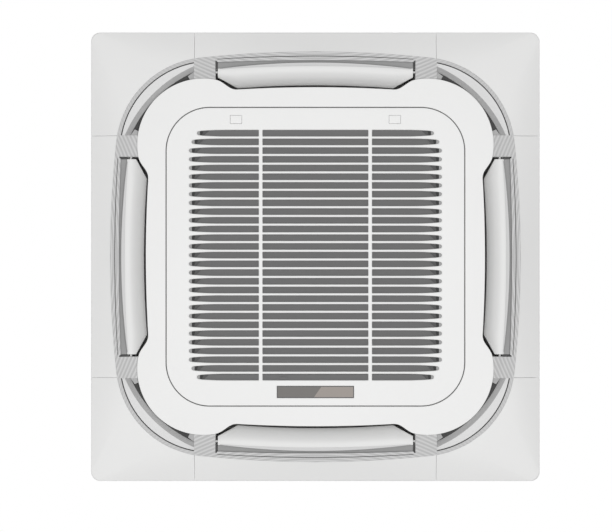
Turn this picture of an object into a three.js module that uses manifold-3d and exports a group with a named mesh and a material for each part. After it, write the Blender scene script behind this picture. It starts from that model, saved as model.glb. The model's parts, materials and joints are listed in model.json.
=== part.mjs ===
// Ceiling cassette air conditioner: a unit body above the ceiling and a decoration panel below it.
// Millimetres, +Z up. The origin is the centre of the panel on the ceiling plane, so the panel
// hangs below z = 0 and the body stands above it. Each side of the panel is drawn as the +X side,
// with x outward from the centre and y along the side, and is turned into its place.
import * as THREE from 'three';
import Module from 'manifold-3d';
import { mergeVertices } from 'three/addons/utils/BufferGeometryUtils.js';

const wasm = await Module();
wasm.setup();

// Gaps between pieces
const seatGap = 0.3;
const edgeGap = 1.3;
const pinGap = 0.3;

// Panel
const panelSide = 950;
const panelCornerRadius = 19;
const rimEdgeDrop = 8;
const rimDrop = 22;
const panelDrop = 34;
const frameSkin = 8;
const landHeight = 6;
const landHalf = 404;
const landCornerRadius = 150;
const coverSeam = 255.5;
const facetAngle = 25;

// Trim ring and its bridges
const ringMid = 433.5;
const ringCornerCentre = 221.7;
const ringCornerRadius = 200;
const ringInnerMid = 418.8;
const ringCornerWidth = 7.7;
const ringThickness = 3;
const bridgeEnd = 256.5;

// Corner recess, from the ring in to the hub plate
const recessCentre = 147.8;
const recessOuterRadius = 277;
const recessInnerRadius = 266.9;
const recessOuterDrop = 17;
const recessInnerDrop = 12;
const recessOuterAngles = [8, 82];
const recessInnerAngles = [20, 70];

// Hub plate
const hubMid = 357.4;
const hubSideEnd = [352.5, 164];
const lobeCentre = 236.4;
const lobeRadius = 139.3;
const lobeStart = -10.5;
const hubBlend = 20;
const hubFace = 3.5;
const skirtWall = 3;

// Outlet ducts
const ductHalfLength = 211;
const ductInner = 350;
const ductOuter = 396;

// Vanes
const vaneHalfLength = 205.8;
const vaneOuterMid = 403;
const vaneOuterEnd = 395.4;
const vaneInnerMid = 363;
const vaneInnerBow = [356.6, 164.5];
const vaneInnerEnd = 378.4;
const vaneLip = 7;
const vaneDrop = 28;
const vaneThickness = 3.5;
const vaneBend = 50;
const vaneFlat = 393;
const vanePivot = [390, -13.6];
const vanePinRadius = 2.5;
const vaneArmThickness = 5;
const vaneArmHalfWidth = 7;

// Vane motors
const vaneMotorRadius = 11.5;
const vaneMotorOffset = 7.7;
const vaneMotorLength = 20;
const pivotWall = 9;

// Intake grille
const grilleHalf = 313.7;
const grilleCornerRadius = 91;
const grilleFace = 4;
const slotRows = 29;
const slotPitch = 18.36;
const slotCentreY = -3.4;
const slotHeight = 13.5;
const slotHalfLengths = [249.6, 260.8, 266.5];
const slotTaper = 60;
const slotTipHeight = 8;
const barX = 115.4;
const barWidth = 8.2;

// Grille hinge: the grille turns about the bottom of its seam on the display side, on two
// curved hooks
const hingeY = grilleHalf + edgeGap;
const hingeZ = -panelDrop;
const hookX = 190;
const hookPlaces = [-hookX, hookX];
const hookWidth = 14;
const hookRadius = 8;
const hookThickness = 2.6;
const hookFrom = 65;
const hookTo = 165;

// Latch buttons
const buttonX = 167.4;
const buttonY = -289.2;
const buttonSize = [24, 17];
const buttonFlange = 2.3;

// Display
const displayY = 285;
const displaySize = [162, 25];
const displayGlass = 2.5;
const displayRecess = 0.4;
const boardSize = [150, 20];
const boardThickness = 1.6;

// Air filter
const filterHalfX = 270;
const filterY = [-268, 262];
const filterWidth = 14;
const filterHeight = 6;
const filterTab = [14.7, 5];
const filterTabX = -67.4;

// Unit body
const bodySide = 840;
const bodyChamfer = 100;
const bodyBottom = 12;
const bodyHeight = 246;
const sheet = 1.2;
const foamWall = 12;
const foamTop = 10;
const panHeight = 36;
const troughDepth = 12;
const intakeLedge = 25.7;
const intakeHalf = grilleHalf - intakeLedge;
const intakeCornerRadius = 60;
const panOpening = intakeHalf - 26;
const panOpeningRadius = 30;

// Heat exchanger
const coilHalf = 345;
const coilDepth = 42;
const coilCornerRadius = 70;
const coilEnd = 230;
const coilTop = 238;

// Bell mouth, fan and motor
const throatRadius = 190;
const mouthRadius = 225;
const mouthHeight = 50;
const mouthWall = 2.5;
const mouthPlateHalf = intakeHalf - 16;
const fanRadius = 232;
const fanInletRadius = 195;
const fanBottom = 56;
const fanTop = 208;
const fanSkin = 3;
const fanHubRadius = 72;
const fanHubZ = 125;
const fanHubTopRadius = 100;
const bladeCount = 7;
const bladeRootRadius = 140;
const bladeSweep = 26;
const bladeThickness = 7;
const shaftRadius = 6;
const motorRadius = 62;
const motorBottom = 150;
const motorBracketRadius = 96;
const motorBracketHeight = 5;

// Control box, in the intake beside the bell mouth
const controlSize = [300, 54];
const controlEdgeGap = 5;
const controlY = controlEdgeGap + controlSize[1] / 2 - intakeHalf;
const controlBottom = -16;
const controlWall = 1.5;

// Drain pump, float switch, pipes and drain, at the open corner of the heat exchanger
const sumpFrom = 262;
const sumpTo = 345;
const sumpFloor = 24;
const pumpAt = [300, 312];
const pumpRadius = 22;
const pumpBodyZ = [62, 148];
const floatAt = [332, 280];
const gasPipeRadius = 8;
const liquidPipeRadius = 4.8;
const gasPipeZ = 172;
const liquidPipeZ = 200;
const pipeY = 262;
const pipeBend = 36;
const pipeStub = 48;
const pipeReach = bodySide / 2 + pipeStub;
const flareNutLength = 22;
const drainPortAt = [300, 222];
const drainPortRadius = 12.5;
const drainPortStub = 45;
const drainHoseRadius = 9;
const drainHoseBend = 50;
const drainWall = 2;
const portWindow = { y: [243, 316], z: [152, 240] };
const portPlateMargin = 6;
const portPlateSheet = 2;

// Hanger brackets on the chamfered corners
const hangerReach = 555;
const hangerWidth = 76;
const hangerLegZ = 150;
const hangerHeight = 60;
const hangerSheet = 2.5;
const hangerSlot = [36, 12];
const hangerTip = 25;

// Panel screws, inside the corners of the intake opening
const screwAt = intakeHalf - 7;
const screwRadius = 2.5;
const screwHeadRadius = 5;
const screwHeadHeight = 3.5;
const screwLength = 38;

const finish = {
  panelWhite: { color: 0xececec, roughness: 0.45, metalness: 0 },
  coverWhite: { color: 0xe6e6e6, roughness: 0.45, metalness: 0 },
  ribGrey: { color: 0xc8c8c8, roughness: 0.6, metalness: 0 },
  darkGlass: { color: 0x8a847c, roughness: 0.15, metalness: 0 },
  filterGrey: { color: 0x5a5a5a, roughness: 0.9, metalness: 0 },
  board: { color: 0x2f5a3a, roughness: 0.6, metalness: 0 },
  sheetSteel: { color: 0xb4b8ba, roughness: 0.4, metalness: 0.8 },
  steel: { color: 0xa0a2a4, roughness: 0.3, metalness: 0.9 },
  foam: { color: 0xd8d8d4, roughness: 0.95, metalness: 0 },
  darkFoam: { color: 0x3a3a3a, roughness: 0.95, metalness: 0 },
  aluminium: { color: 0xb8bcc0, roughness: 0.35, metalness: 0.8 },
  copper: { color: 0xb87350, roughness: 0.3, metalness: 0.9 },
  brass: { color: 0xb99a52, roughness: 0.3, metalness: 0.9 },
  fanGrey: { color: 0x6e7276, roughness: 0.6, metalness: 0 },
  hose: { color: 0xc9c9c2, roughness: 0.7, metalness: 0 },
  motor: { color: 0x9b9ea2, roughness: 0.5, metalness: 0.3 },
};

const root = new THREE.Group();
const quarter = Math.PI / 2;
const far = 2000;
const fanFacets = 30;
const sides = [0, 1, 2, 3];
const sideGroups = sides.map((side) => {
  const group = new THREE.Group();
  group.rotation.z = side * quarter;
  root.add(group);
  return group;
});

// ---- solids -------------------------------------------------------------------------------

function enclosedVolume(geometry) {
  const at = geometry.attributes.position;
  const index = geometry.index;
  const corner = [0, 1, 2].map(() => new THREE.Vector3());
  let sum = 0;
  for (let i = 0; i < index.count; i += 3) {
    corner.forEach((point, k) => point.fromBufferAttribute(at, index.getX(i + k)));
    sum += corner[0].dot(corner[1].cross(corner[2])) / 6;
  }
  return sum;
}

function solid(geometry) {
  geometry.deleteAttribute('normal');
  geometry.deleteAttribute('uv');
  const merged = mergeVertices(geometry, 1e-4);
  const faces = Uint32Array.from(merged.index.array);
  if (enclosedVolume(merged) < 0) {
    for (let i = 0; i < faces.length; i += 3) {
      [faces[i + 1], faces[i + 2]] = [faces[i + 2], faces[i + 1]];
    }
  }
  const vertProperties = Float32Array.from(merged.attributes.position.array);
  return new wasm.Manifold(new wasm.Mesh({ numProp: 3, vertProperties, triVerts: faces }));
}

function add(name, body, look, parent = root) {
  const mesh = body.getMesh();
  const geometry = new THREE.BufferGeometry();
  geometry.setAttribute('position', new THREE.BufferAttribute(mesh.vertProperties, 3));
  geometry.setIndex(new THREE.BufferAttribute(mesh.triVerts, 1));
  geometry.computeVertexNormals();
  const part = new THREE.Mesh(geometry, new THREE.MeshStandardMaterial(look));
  part.name = name;
  parent.add(part);
}

function joined(...bodies) {
  return bodies.reduce((sum, body) => sum.add(body));
}

function cut(body, ...tools) {
  return tools.reduce((rest, tool) => rest.subtract(tool), body);
}

function turned(body, side) {
  return body.rotate([0, 0, side * 90]);
}

function onEverySide(body) {
  return joined(...sides.map((side) => turned(body, side)));
}

function block(x, y, z) {
  const size = [x, y, z].map(([low, high]) => high - low);
  const geometry = new THREE.BoxGeometry(...size);
  geometry.translate(...[x, y, z].map(([low, high]) => (low + high) / 2));
  return solid(geometry);
}

function rod(radius, from, to, facets = 12) {
  const start = new THREE.Vector3(...from);
  const run = new THREE.Vector3(...to).sub(start);
  const geometry = new THREE.CylinderGeometry(radius, radius, run.length(), facets);
  const up = new THREE.Vector3(0, 1, 0);
  geometry.applyQuaternion(new THREE.Quaternion().setFromUnitVectors(up, run.clone().normalize()));
  geometry.translate(...start.addScaledVector(run, 0.5).toArray());
  return solid(geometry);
}

function prism(outline, z, holes = []) {
  const shape = new THREE.Shape(outline);
  shape.holes = holes.map((hole) => new THREE.Path(hole));
  const geometry = new THREE.ExtrudeGeometry(shape, { depth: z[1] - z[0], bevelEnabled: false });
  geometry.translate(0, 0, z[0]);
  return solid(geometry);
}

// A section in x and z, drawn out along y.
function along(section, y) {
  const options = { depth: y[1] - y[0], bevelEnabled: false };
  const geometry = new THREE.ExtrudeGeometry(new THREE.Shape(section), options);
  geometry.rotateX(quarter);
  geometry.translate(0, y[1], 0);
  return solid(geometry);
}

// A closed section in radius and z, turned about the z axis.
function turnedRing(section, facets = fanFacets) {
  const points = section.map(([radius, z]) => new THREE.Vector2(radius, z));
  const geometry = new THREE.LatheGeometry([...points, points[0].clone()], facets);
  geometry.rotateX(quarter);
  return solid(geometry);
}

function pipe(points, radius, facets = 8, stepsPerPoint = 3) {
  const path = new THREE.CatmullRomCurve3(points.map((point) => new THREE.Vector3(...point)));
  path.curveType = 'centripetal';
  const section = new THREE.Shape(circle(0, 0, radius, facets));
  const steps = (points.length - 1) * stepsPerPoint;
  return solid(new THREE.ExtrudeGeometry(section, { steps, extrudePath: path }));
}

// A ring of four-cornered sections, each joined to the next.
function sweep(sections) {
  const count = sections[0].length;
  const faces = [];
  sections.forEach((section, i) => {
    const next = (i + 1) % sections.length;
    section.forEach((_, k) => {
      const [a, b] = [i * count + k, i * count + (k + 1) % count];
      const [c, d] = [next * count + k, next * count + (k + 1) % count];
      faces.push(a, c, b, b, c, d);
    });
  });
  const geometry = new THREE.BufferGeometry();
  geometry.setAttribute('position', new THREE.Float32BufferAttribute(sections.flat(2), 3));
  geometry.setIndex(faces);
  return solid(geometry);
}

// ---- outlines -----------------------------------------------------------------------------

function arc(x, y, radius, from, to, steps) {
  const points = [];
  for (let i = 0; i <= steps; i += 1) {
    const angle = from + (to - from) * i / steps;
    points.push(new THREE.Vector2(x + radius * Math.cos(angle), y + radius * Math.sin(angle)));
  }
  return points;
}

function circle(x, y, radius, facets) {
  return arc(x, y, radius, 0, 4 * quarter * (facets - 1) / facets, facets - 1);
}

function rectangle(x, y) {
  const corners = [[x[0], y[0]], [x[1], y[0]], [x[1], y[1]], [x[0], y[1]]];
  return corners.map(([u, v]) => new THREE.Vector2(u, v));
}

function roundedSquare(half, radius, steps = 5) {
  const centre = half - radius;
  return sides.flatMap((side) => {
    const turn = side * quarter;
    const mid = new THREE.Vector2(centre, centre).rotateAround(new THREE.Vector2(), turn);
    return arc(mid.x, mid.y, radius, turn, turn + quarter, steps);
  });
}

function chamferedSquare(inset) {
  const half = bodySide / 2 - inset;
  const short = bodySide / 2 - bodyChamfer - inset * (Math.SQRT2 - 1);
  return sides.flatMap((side) => [[half, -short], [half, short]].map(([x, y]) => (
    new THREE.Vector2(x, y).rotateAround(new THREE.Vector2(), side * quarter))));
}

function withoutRepeats(points) {
  return points.filter((point, i) => (
    point.distanceTo(points[(i + points.length - 1) % points.length]) > 0.01));
}

function aroundFourSides(points) {
  const turnedPoints = sides.flatMap((side) => points.map((point) => (
    point.clone().rotateAround(new THREE.Vector2(), side * quarter))));
  return withoutRepeats(turnedPoints);
}

// A square with bowed sides, which run smoothly into its corner arcs.
function bowedSquare(mid, centre, radius) {
  const reach = centre - mid;
  const sideRadius = (radius ** 2 - reach ** 2 - centre ** 2) / (2 * (reach + radius));
  const sideCentre = mid - sideRadius;
  const blend = Math.atan2(centre, centre - sideCentre);
  return { sideRadius, sideCentre, blend, centre, radius };
}

function bowedOutline(bow, clearance) {
  return aroundFourSides([
    ...arc(bow.sideCentre, 0, bow.sideRadius + clearance, -bow.blend, bow.blend, 4),
    ...arc(bow.centre, bow.centre, bow.radius + clearance, bow.blend, quarter - bow.blend, 10),
  ]);
}

function ringOuter(clearance) {
  return bowedOutline(bowedSquare(ringMid, ringCornerCentre, ringCornerRadius), clearance);
}

function ringInner(clearance) {
  const radius = ringCornerRadius - ringCornerWidth;
  return bowedOutline(bowedSquare(ringInnerMid, ringCornerCentre, radius), clearance);
}

// Half a side of the hub plate: a slow bow, an S-shaped step outward and half a corner lobe.
function hubOutline(inset) {
  const [endX, endY] = hubSideEnd;
  const bow = [0, 0.35, 0.7].map((share) => (
    new THREE.Vector2(hubMid - inset - (hubMid - endX) * share ** 2, endY * share)));
  const start = THREE.MathUtils.degToRad(lobeStart);
  const lobe = arc(lobeCentre, lobeCentre, lobeRadius - inset, start, quarter / 2, 5);
  const slope = 2 * (hubMid - endX) / endY;
  const step = new THREE.CubicBezierCurve(
    new THREE.Vector2(endX - inset, endY),
    new THREE.Vector2(endX - inset - slope * hubBlend, endY + hubBlend),
    new THREE.Vector2(lobe[0].x + Math.sin(start) * hubBlend, lobe[0].y - Math.cos(start) * hubBlend),
    lobe[0],
  );
  const half = [...bow, ...step.getPoints(4), ...lobe];
  const mirrored = half.map((point) => new THREE.Vector2(point.y, point.x)).reverse();
  return aroundFourSides([...half, ...mirrored]);
}

// ---- panel --------------------------------------------------------------------------------

// The rim around the ring, one closed body: flat on the ceiling, its lower face running from the
// thin outer edge down to the ring. Its corners are cut off it as covers.
function rimBlank() {
  const bow = bowedSquare(ringMid, ringCornerCentre, ringCornerRadius);
  const half = panelSide / 2;
  const arcStart = half - panelCornerRadius;
  const facet = THREE.MathUtils.degToRad(facetAngle);
  const facetY = ringCornerCentre + ringCornerRadius * Math.sin(facet);
  const blendY = bow.sideRadius * Math.sin(bow.blend);
  const insideX = (y) => (Math.abs(y) < blendY
    ? bow.sideCentre + Math.sqrt(bow.sideRadius ** 2 - y ** 2)
    : ringCornerCentre + Math.sqrt(ringCornerRadius ** 2 - (Math.abs(y) - ringCornerCentre) ** 2));
  const pairs = [];
  const sideSteps = 12;
  for (let i = 0; i <= sideSteps; i += 1) {
    const share = 2 * i / sideSteps - 1;
    pairs.push([half, share * arcStart, insideX(share * facetY), share * facetY]);
  }
  const cornerSteps = 6;
  for (let i = 1; i < cornerSteps; i += 1) {
    const share = i / cornerSteps;
    const outer = share * quarter;
    const inner = facet + share * (quarter - 2 * facet);
    pairs.push([
      arcStart + panelCornerRadius * Math.cos(outer),
      arcStart + panelCornerRadius * Math.sin(outer),
      ringCornerCentre + ringCornerRadius * Math.cos(inner),
      ringCornerCentre + ringCornerRadius * Math.sin(inner),
    ]);
  }
  const overrun = 0.985;
  return sweep(sides.flatMap((side) => pairs.map((pair) => {
    const origin = new THREE.Vector2();
    const outer = new THREE.Vector2(pair[0], pair[1]).rotateAround(origin, side * quarter);
    const inner = new THREE.Vector2(pair[2], pair[3]).rotateAround(origin, side * quarter);
    const hidden = inner.clone().multiplyScalar(overrun);
    return [
      [outer.x, outer.y, 0],
      [outer.x, outer.y, -rimEdgeDrop],
      [inner.x, inner.y, -rimDrop],
      [hidden.x, hidden.y, -rimDrop],
      [hidden.x, hidden.y, 0],
    ];
  })));
}

function cornerZone(clearance) {
  return block([coverSeam + clearance, far], [coverSeam + clearance, far], [-far, far]);
}

// The wall of a corner recess: a shallow outer band and a steeper inner band up to the frame skin.
function recessBand() {
  const ringRadius = ringCornerRadius - ringCornerWidth;
  const floor = -frameSkin + 1;
  const at = (centre, radius, angle, z) => {
    const turn = THREE.MathUtils.degToRad(angle);
    return [centre + radius * Math.cos(turn), centre + radius * Math.sin(turn), z];
  };
  const steps = 8;
  const stations = [];
  for (let i = 0; i <= steps; i += 1) {
    const outer = THREE.MathUtils.lerp(...recessOuterAngles, i / steps);
    const inner = THREE.MathUtils.lerp(...recessInnerAngles, i / steps);
    stations.push([
      at(ringCornerCentre, ringRadius + 2, outer, floor),
      at(ringCornerCentre, ringRadius + 2, outer, -recessOuterDrop),
      at(recessCentre, recessOuterRadius, inner, -recessInnerDrop),
      at(recessCentre, recessInnerRadius, inner, -frameSkin),
      at(recessCentre, recessInnerRadius, inner, floor),
    ]);
  }
  return openSweep(stations);
}

// A run of flat sections, closed by a cap at each end.
function openSweep(sections) {
  const count = sections[0].length;
  const last = (sections.length - 1) * count;
  const faces = [];
  for (let i = 0; i < sections.length - 1; i += 1) {
    for (let k = 0; k < count; k += 1) {
      const [a, b] = [i * count + k, i * count + (k + 1) % count];
      faces.push(a, a + count, b, b, a + count, b + count);
    }
  }
  for (let k = 1; k < count - 1; k += 1) {
    faces.push(0, k, k + 1, last, last + k + 1, last + k);
  }
  const geometry = new THREE.BufferGeometry();
  geometry.setAttribute('position', new THREE.Float32BufferAttribute(sections.flat(2), 3));
  geometry.setIndex(faces);
  return solid(geometry);
}

// The air path of one outlet, flaring outward on its way down.
function ductPath(clearance = 0) {
  const section = [
    [ductInner - clearance, bodyBottom + panHeight + 1],
    [ductInner - clearance, -rimDrop],
    [ringInnerMid, -rimDrop],
    [ringInnerMid, -frameSkin],
    [ductOuter + clearance, -2],
    [ductOuter + clearance, bodyBottom + panHeight + 1],
  ].map(([x, z]) => new THREE.Vector2(x, z));
  return along(section, [-ductHalfLength - clearance, ductHalfLength + clearance]);
}

const collarTop = -rimDrop + ringThickness + seatGap;

function vaneMotorSpace(clearance) {
  const from = ductHalfLength + seatGap + pivotWall;
  const x = vanePivot[0];
  const z = vanePivot[1] + vaneMotorOffset;
  const r = vaneMotorRadius + clearance;
  const ends = [from + seatGap - clearance, from + seatGap + vaneMotorLength + clearance];
  return joined(
    rod(r, [x, ends[0], z], [x, ends[1], z], 12),
    block([x - r, x + r], ends, [z, z + vaneMotorRadius + clearance]),
  );
}

// Solid ends of the outlets, which carry the vane pivots and stand behind the bridges.
function pivotBlock() {
  const x = [lobeCentre + lobeRadius + 0.8, ringInnerMid - 4];
  const low = ductHalfLength + seatGap;
  return joined(
    block(x, [low, bridgeEnd], [collarTop, -1]),
    block(x, [-bridgeEnd, -low], [collarTop, -1]),
  );
}

function screwHoles(top) {
  return onEverySide(rod(screwRadius + seatGap, [screwAt, screwAt, -far], [screwAt, screwAt, top], 8));
}

function panelFrame(blank) {
  const collar = prism(ringOuter(0), [collarTop, 0], [ringInner(0)]);
  const skin = prism(ringOuter(0), [-frameSkin, 0]);
  const rims = cut(blank, onEverySide(cornerZone(-seatGap / 2)));
  const land = prism(roundedSquare(landHalf, landCornerRadius), [-1, landHeight]);
  const cornerRoom = block([bridgeEnd, far], [bridgeEnd, far], [-far, far]);
  const recess = onEverySide(recessBand().intersect(cornerRoom));
  const body = joined(rims, skin, collar, land, recess, onEverySide(pivotBlock()));
  const ringPocket = prism(ringOuter(seatGap), [-far, collarTop]);
  const intake = prism(roundedSquare(intakeHalf, intakeCornerRadius), [-far, far]);
  const [pivotX, pivotZ] = vanePivot;
  const boreEnd = bridgeEnd - 20;
  const bore = rod(vanePinRadius + pinGap, [pivotX, -boreEnd, pivotZ], [pivotX, boreEnd, pivotZ], 12);
  const motorWell = joined(
    vaneMotorSpace(seatGap),
    block(
      [pivotX - vaneMotorRadius - seatGap, pivotX + vaneMotorRadius + seatGap],
      [ductHalfLength + seatGap + pivotWall, ductHalfLength + pivotWall + 3 * seatGap + vaneMotorLength],
      [pivotZ + vaneMotorOffset, far],
    ),
  );
  return cut(body, ringPocket, intake, onEverySide(joined(ductPath(), bore, motorWell)), screwHoles(far));
}

function cornerCover(blank) {
  const ring = prism(ringOuter(seatGap), [-far, far]);
  return cut(blank.intersect(cornerZone(seatGap / 2)), ring);
}

function trimRing() {
  const z = [-rimDrop, -rimDrop + ringThickness];
  const ring = prism(ringOuter(0), z, [ringInner(0)]);
  const low = ductHalfLength + seatGap;
  const x = [lobeCentre, ringInnerMid - ringCornerWidth];
  const bridges = onEverySide(joined(block(x, [low, bridgeEnd], z), block(x, [-bridgeEnd, -low], z)));
  const hubSpace = prism(hubOutline(-seatGap), [-far, far]);
  return cut(joined(ring, bridges), hubSpace);
}

function hubPlate() {
  const opening = (clearance) => roundedSquare(
    grilleHalf + 2 * edgeGap + clearance, grilleCornerRadius + 2 * edgeGap + clearance, 7);
  const face = prism(hubOutline(0), [-panelDrop, -panelDrop + hubFace], [opening(0)]);
  const z = [-panelDrop, -frameSkin - seatGap];
  const outerSkirt = prism(hubOutline(0), z, [hubOutline(skirtWall)]);
  const innerSkirt = prism(opening(skirtWall), z, [opening(0)]);
  return cut(joined(face, outerSkirt, innerSkirt), ...hookPlaces.map(hookNotch));
}

// One of the grille's two hooks: an arc about the hinge line, which lies over the edge of a notch
// in the hub plate's inner skirt.
function hingeHook(x) {
  const [from, to] = [hookFrom, hookTo].map(THREE.MathUtils.degToRad);
  const section = [
    ...arc(hingeY, hingeZ, hookRadius, from, to, 6),
    ...arc(hingeY, hingeZ, hookRadius + hookThickness, to, from, 6),
  ];
  return along(section, [-hookWidth / 2, hookWidth / 2]).rotate([0, 0, 90]).translate([x, 0, 0]);
}

function hookNotch(x) {
  const half = hookWidth / 2 + seatGap;
  const outer = edgeGap + skirtWall;
  const floor = Math.sqrt((hookRadius - seatGap) ** 2 - outer ** 2);
  return block([x - half, x + half], [grilleHalf, hingeY + outer + 1], [hingeZ + floor, far]);
}

// ---- vanes --------------------------------------------------------------------------------

function vaneEdge(mid, end, reach, steps) {
  const points = [];
  for (let i = -steps; i <= steps; i += 1) {
    const share = i / steps;
    points.push(new THREE.Vector2(mid - (mid - end) * share ** 2, reach * share));
  }
  return points;
}

function vanePlan(outerMid, outerEnd) {
  const [bowX, bowY] = vaneInnerBow;
  return [
    new THREE.Vector2(vaneInnerEnd, -vaneHalfLength),
    ...vaneEdge(outerMid, outerEnd, vaneHalfLength, 6),
    new THREE.Vector2(vaneInnerEnd, vaneHalfLength),
    ...vaneEdge(vaneInnerMid, bowX, bowY, 4).reverse(),
  ];
}

function vane() {
  const centreZ = vaneBend - vaneDrop;
  const top = -vaneDrop + vaneThickness;
  const [steep, flat] = [2.2 * quarter, 3 * quarter];
  const section = [
    ...arc(vaneFlat, centreZ, vaneBend, steep, flat, 6),
    new THREE.Vector2(far, -vaneDrop),
    new THREE.Vector2(far, top),
    ...arc(vaneFlat, centreZ, vaneBend - vaneThickness, flat, steep, 6),
  ];
  const blade = along(section, [-far, far]).intersect(
    prism(vanePlan(vaneOuterMid, vaneOuterEnd), [-far, far]));
  const lipPlan = vanePlan(vaneOuterMid + vaneLip, vaneOuterEnd + 1);
  const inside = block([vaneFlat + 1, far], [-far, far], [-far, far]);
  const lip = prism(lipPlan, [top - vaneThickness / 2, top]).intersect(inside);
  const [x, z] = vanePivot;
  const armX = [x - vaneArmHalfWidth, x + vaneArmHalfWidth];
  const low = vaneHalfLength - vaneArmThickness;
  const foot = -vaneDrop + 1.5;
  const arms = joined(
    block(armX, [low, vaneHalfLength], [foot, z]),
    block(armX, [-vaneHalfLength, -low], [foot, z]),
    rod(vaneArmHalfWidth, [x, low, z], [x, vaneHalfLength, z], 12),
    rod(vaneArmHalfWidth, [x, -low, z], [x, -vaneHalfLength, z], 12),
  ).intersect(prism(vanePlan(vaneOuterMid, vaneOuterEnd), [-far, far]));
  const pinReach = ductHalfLength + pivotWall + 4;
  const pins = joined(
    rod(vanePinRadius, [x, low + 1, z], [x, pinReach, z], 12),
    rod(vanePinRadius, [x, -low - 1, z], [x, -ductHalfLength - pivotWall + 1, z], 12),
  );
  return joined(blade, lip, arms, pins);
}

function vaneMotor() {
  const [x, z] = vanePivot;
  const from = ductHalfLength + pivotWall;
  const socket = rod(vanePinRadius + pinGap, [x, from - 1, z], [x, from + 5, z], 12);
  return cut(vaneMotorSpace(0), socket);
}

// ---- intake grille ------------------------------------------------------------------------

// One end of a slot: it tapers over its last stretch to a small round tip.
function slotEnd(y, inner, length) {
  const half = slotHeight / 2;
  const tip = slotTipHeight / 2;
  const edge = [];
  for (const share of [1, 0.3]) {
    const rise = tip + (half - tip) * (1 - (1 - share) ** 2);
    edge.push([length - slotTaper * share, rise]);
  }
  edge.push([length, tip * 0.7]);
  const upper = edge.map(([x, rise]) => new THREE.Vector2(x, y + rise));
  const lower = edge.map(([x, rise]) => new THREE.Vector2(x, y - rise)).reverse();
  return [
    new THREE.Vector2(inner, y + half),
    ...upper,
    ...lower,
    new THREE.Vector2(inner, y - half),
  ];
}

function slots() {
  const holes = [];
  const inside = barX - barWidth / 2;
  for (let row = 0; row < slotRows; row += 1) {
    const y = slotCentreY + (row - (slotRows - 1) / 2) * slotPitch;
    const fromEnd = Math.min(row, slotRows - 1 - row, slotHalfLengths.length - 1);
    const right = slotEnd(y, inside + barWidth, slotHalfLengths[fromEnd]);
    holes.push(right);
    holes.push(right.map((point) => new THREE.Vector2(-point.x, point.y)));
    holes.push(rectangle([-inside, inside], [y - slotHeight / 2, y + slotHeight / 2]));
  }
  return holes;
}

function centred(size, at, margin) {
  return rectangle(
    [at[0] - size[0] / 2 - margin, at[0] + size[0] / 2 + margin],
    [at[1] - size[1] / 2 - margin, at[1] + size[1] / 2 + margin],
  );
}

const buttonPlaces = [-buttonX, buttonX];
const grilleBack = -panelDrop + grilleFace;

function intakeGrille() {
  const holes = [
    ...slots(),
    centred(displaySize, [0, displayY], seatGap),
    ...buttonPlaces.map((x) => centred(buttonSize, [x, buttonY], seatGap)),
  ];
  const plate = prism(roundedSquare(grilleHalf, grilleCornerRadius, 7), [-panelDrop, grilleBack]);
  const face = cut(plate, joined(...holes.map((hole) => prism(hole, [-panelDrop - 1, grilleBack + 1]))));
  return joined(face, ...hookPlaces.map(hingeHook));
}

function latchButton(x) {
  const cap = prism(centred(buttonSize, [x, buttonY], 0), [-panelDrop, grilleBack + seatGap + 1]);
  const flange = prism(
    centred(buttonSize, [x, buttonY], buttonFlange),
    [grilleBack + seatGap, grilleBack + seatGap + 2],
  );
  const post = rod(3, [x, buttonY, grilleBack + 1], [x, buttonY, grilleBack + 10], 12);
  return joined(cap, flange, post);
}

function displayWindow() {
  const low = -panelDrop + displayRecess;
  const glass = prism(centred(displaySize, [0, displayY], 0), [low, grilleBack + seatGap + 0.5]);
  const flange = prism(
    centred(displaySize, [0, displayY], displayGlass),
    [grilleBack + seatGap, grilleBack + seatGap + displayGlass / 2],
  );
  return joined(glass, flange);
}

function displayBoard() {
  const low = grilleBack + seatGap + displayGlass / 2 + seatGap;
  const board = prism(centred(boardSize, [0, displayY], 0), [low, low + boardThickness]);
  const plug = block([-16, 16], [displayY - 5, displayY + 5], [low + 1, low + boardThickness + 5]);
  return joined(board, plug);
}

const filterZ = [grilleBack + seatGap, grilleBack + seatGap + filterHeight];

function filterFrame() {
  const outer = rectangle([-filterHalfX, filterHalfX], filterY);
  const innerX = filterHalfX - filterWidth;
  const innerY = [filterY[0] + filterWidth, filterY[1] - filterWidth];
  const ring = prism(outer, filterZ, [rectangle([-innerX, innerX], innerY)]);
  const ribZ = [filterZ[1] - 2, filterZ[1]];
  const ribs = joined(
    block([-barX - 3, -barX + 3], [innerY[0] - 1, innerY[1] + 1], ribZ),
    block([barX - 3, barX + 3], [innerY[0] - 1, innerY[1] + 1], ribZ),
    block([-innerX - 1, innerX + 1], [slotCentreY - 3, slotCentreY + 3], ribZ),
  );
  const lastSlotY = slotCentreY + slotPitch * (slotRows - 1) / 2;
  const tab = block(
    [filterTabX - filterTab[0] / 2, filterTabX + filterTab[0] / 2],
    [lastSlotY, lastSlotY + filterTab[1]],
    [-panelDrop + 1, filterZ[0] + 1],
  );
  return joined(ring, ribs, tab);
}

function filterMesh() {
  const margin = filterWidth + seatGap;
  return block(
    [-filterHalfX + margin, filterHalfX - margin],
    [filterY[0] + margin, filterY[1] - margin],
    [filterZ[0] + 2, filterZ[0] + 3],
  );
}

// ---- unit body ----------------------------------------------------------------------------

const bodyTop = bodyBottom + bodyHeight;
const panTop = bodyBottom + panHeight;

function portOpening() {
  return block([landHalf - 20, far], portWindow.y, portWindow.z);
}

function cabinetShell() {
  const box = prism(chamferedSquare(0), [bodyBottom, bodyTop]);
  const inside = prism(chamferedSquare(sheet), [-far, bodyTop - sheet]);
  return cut(box, inside, portOpening());
}

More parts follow.
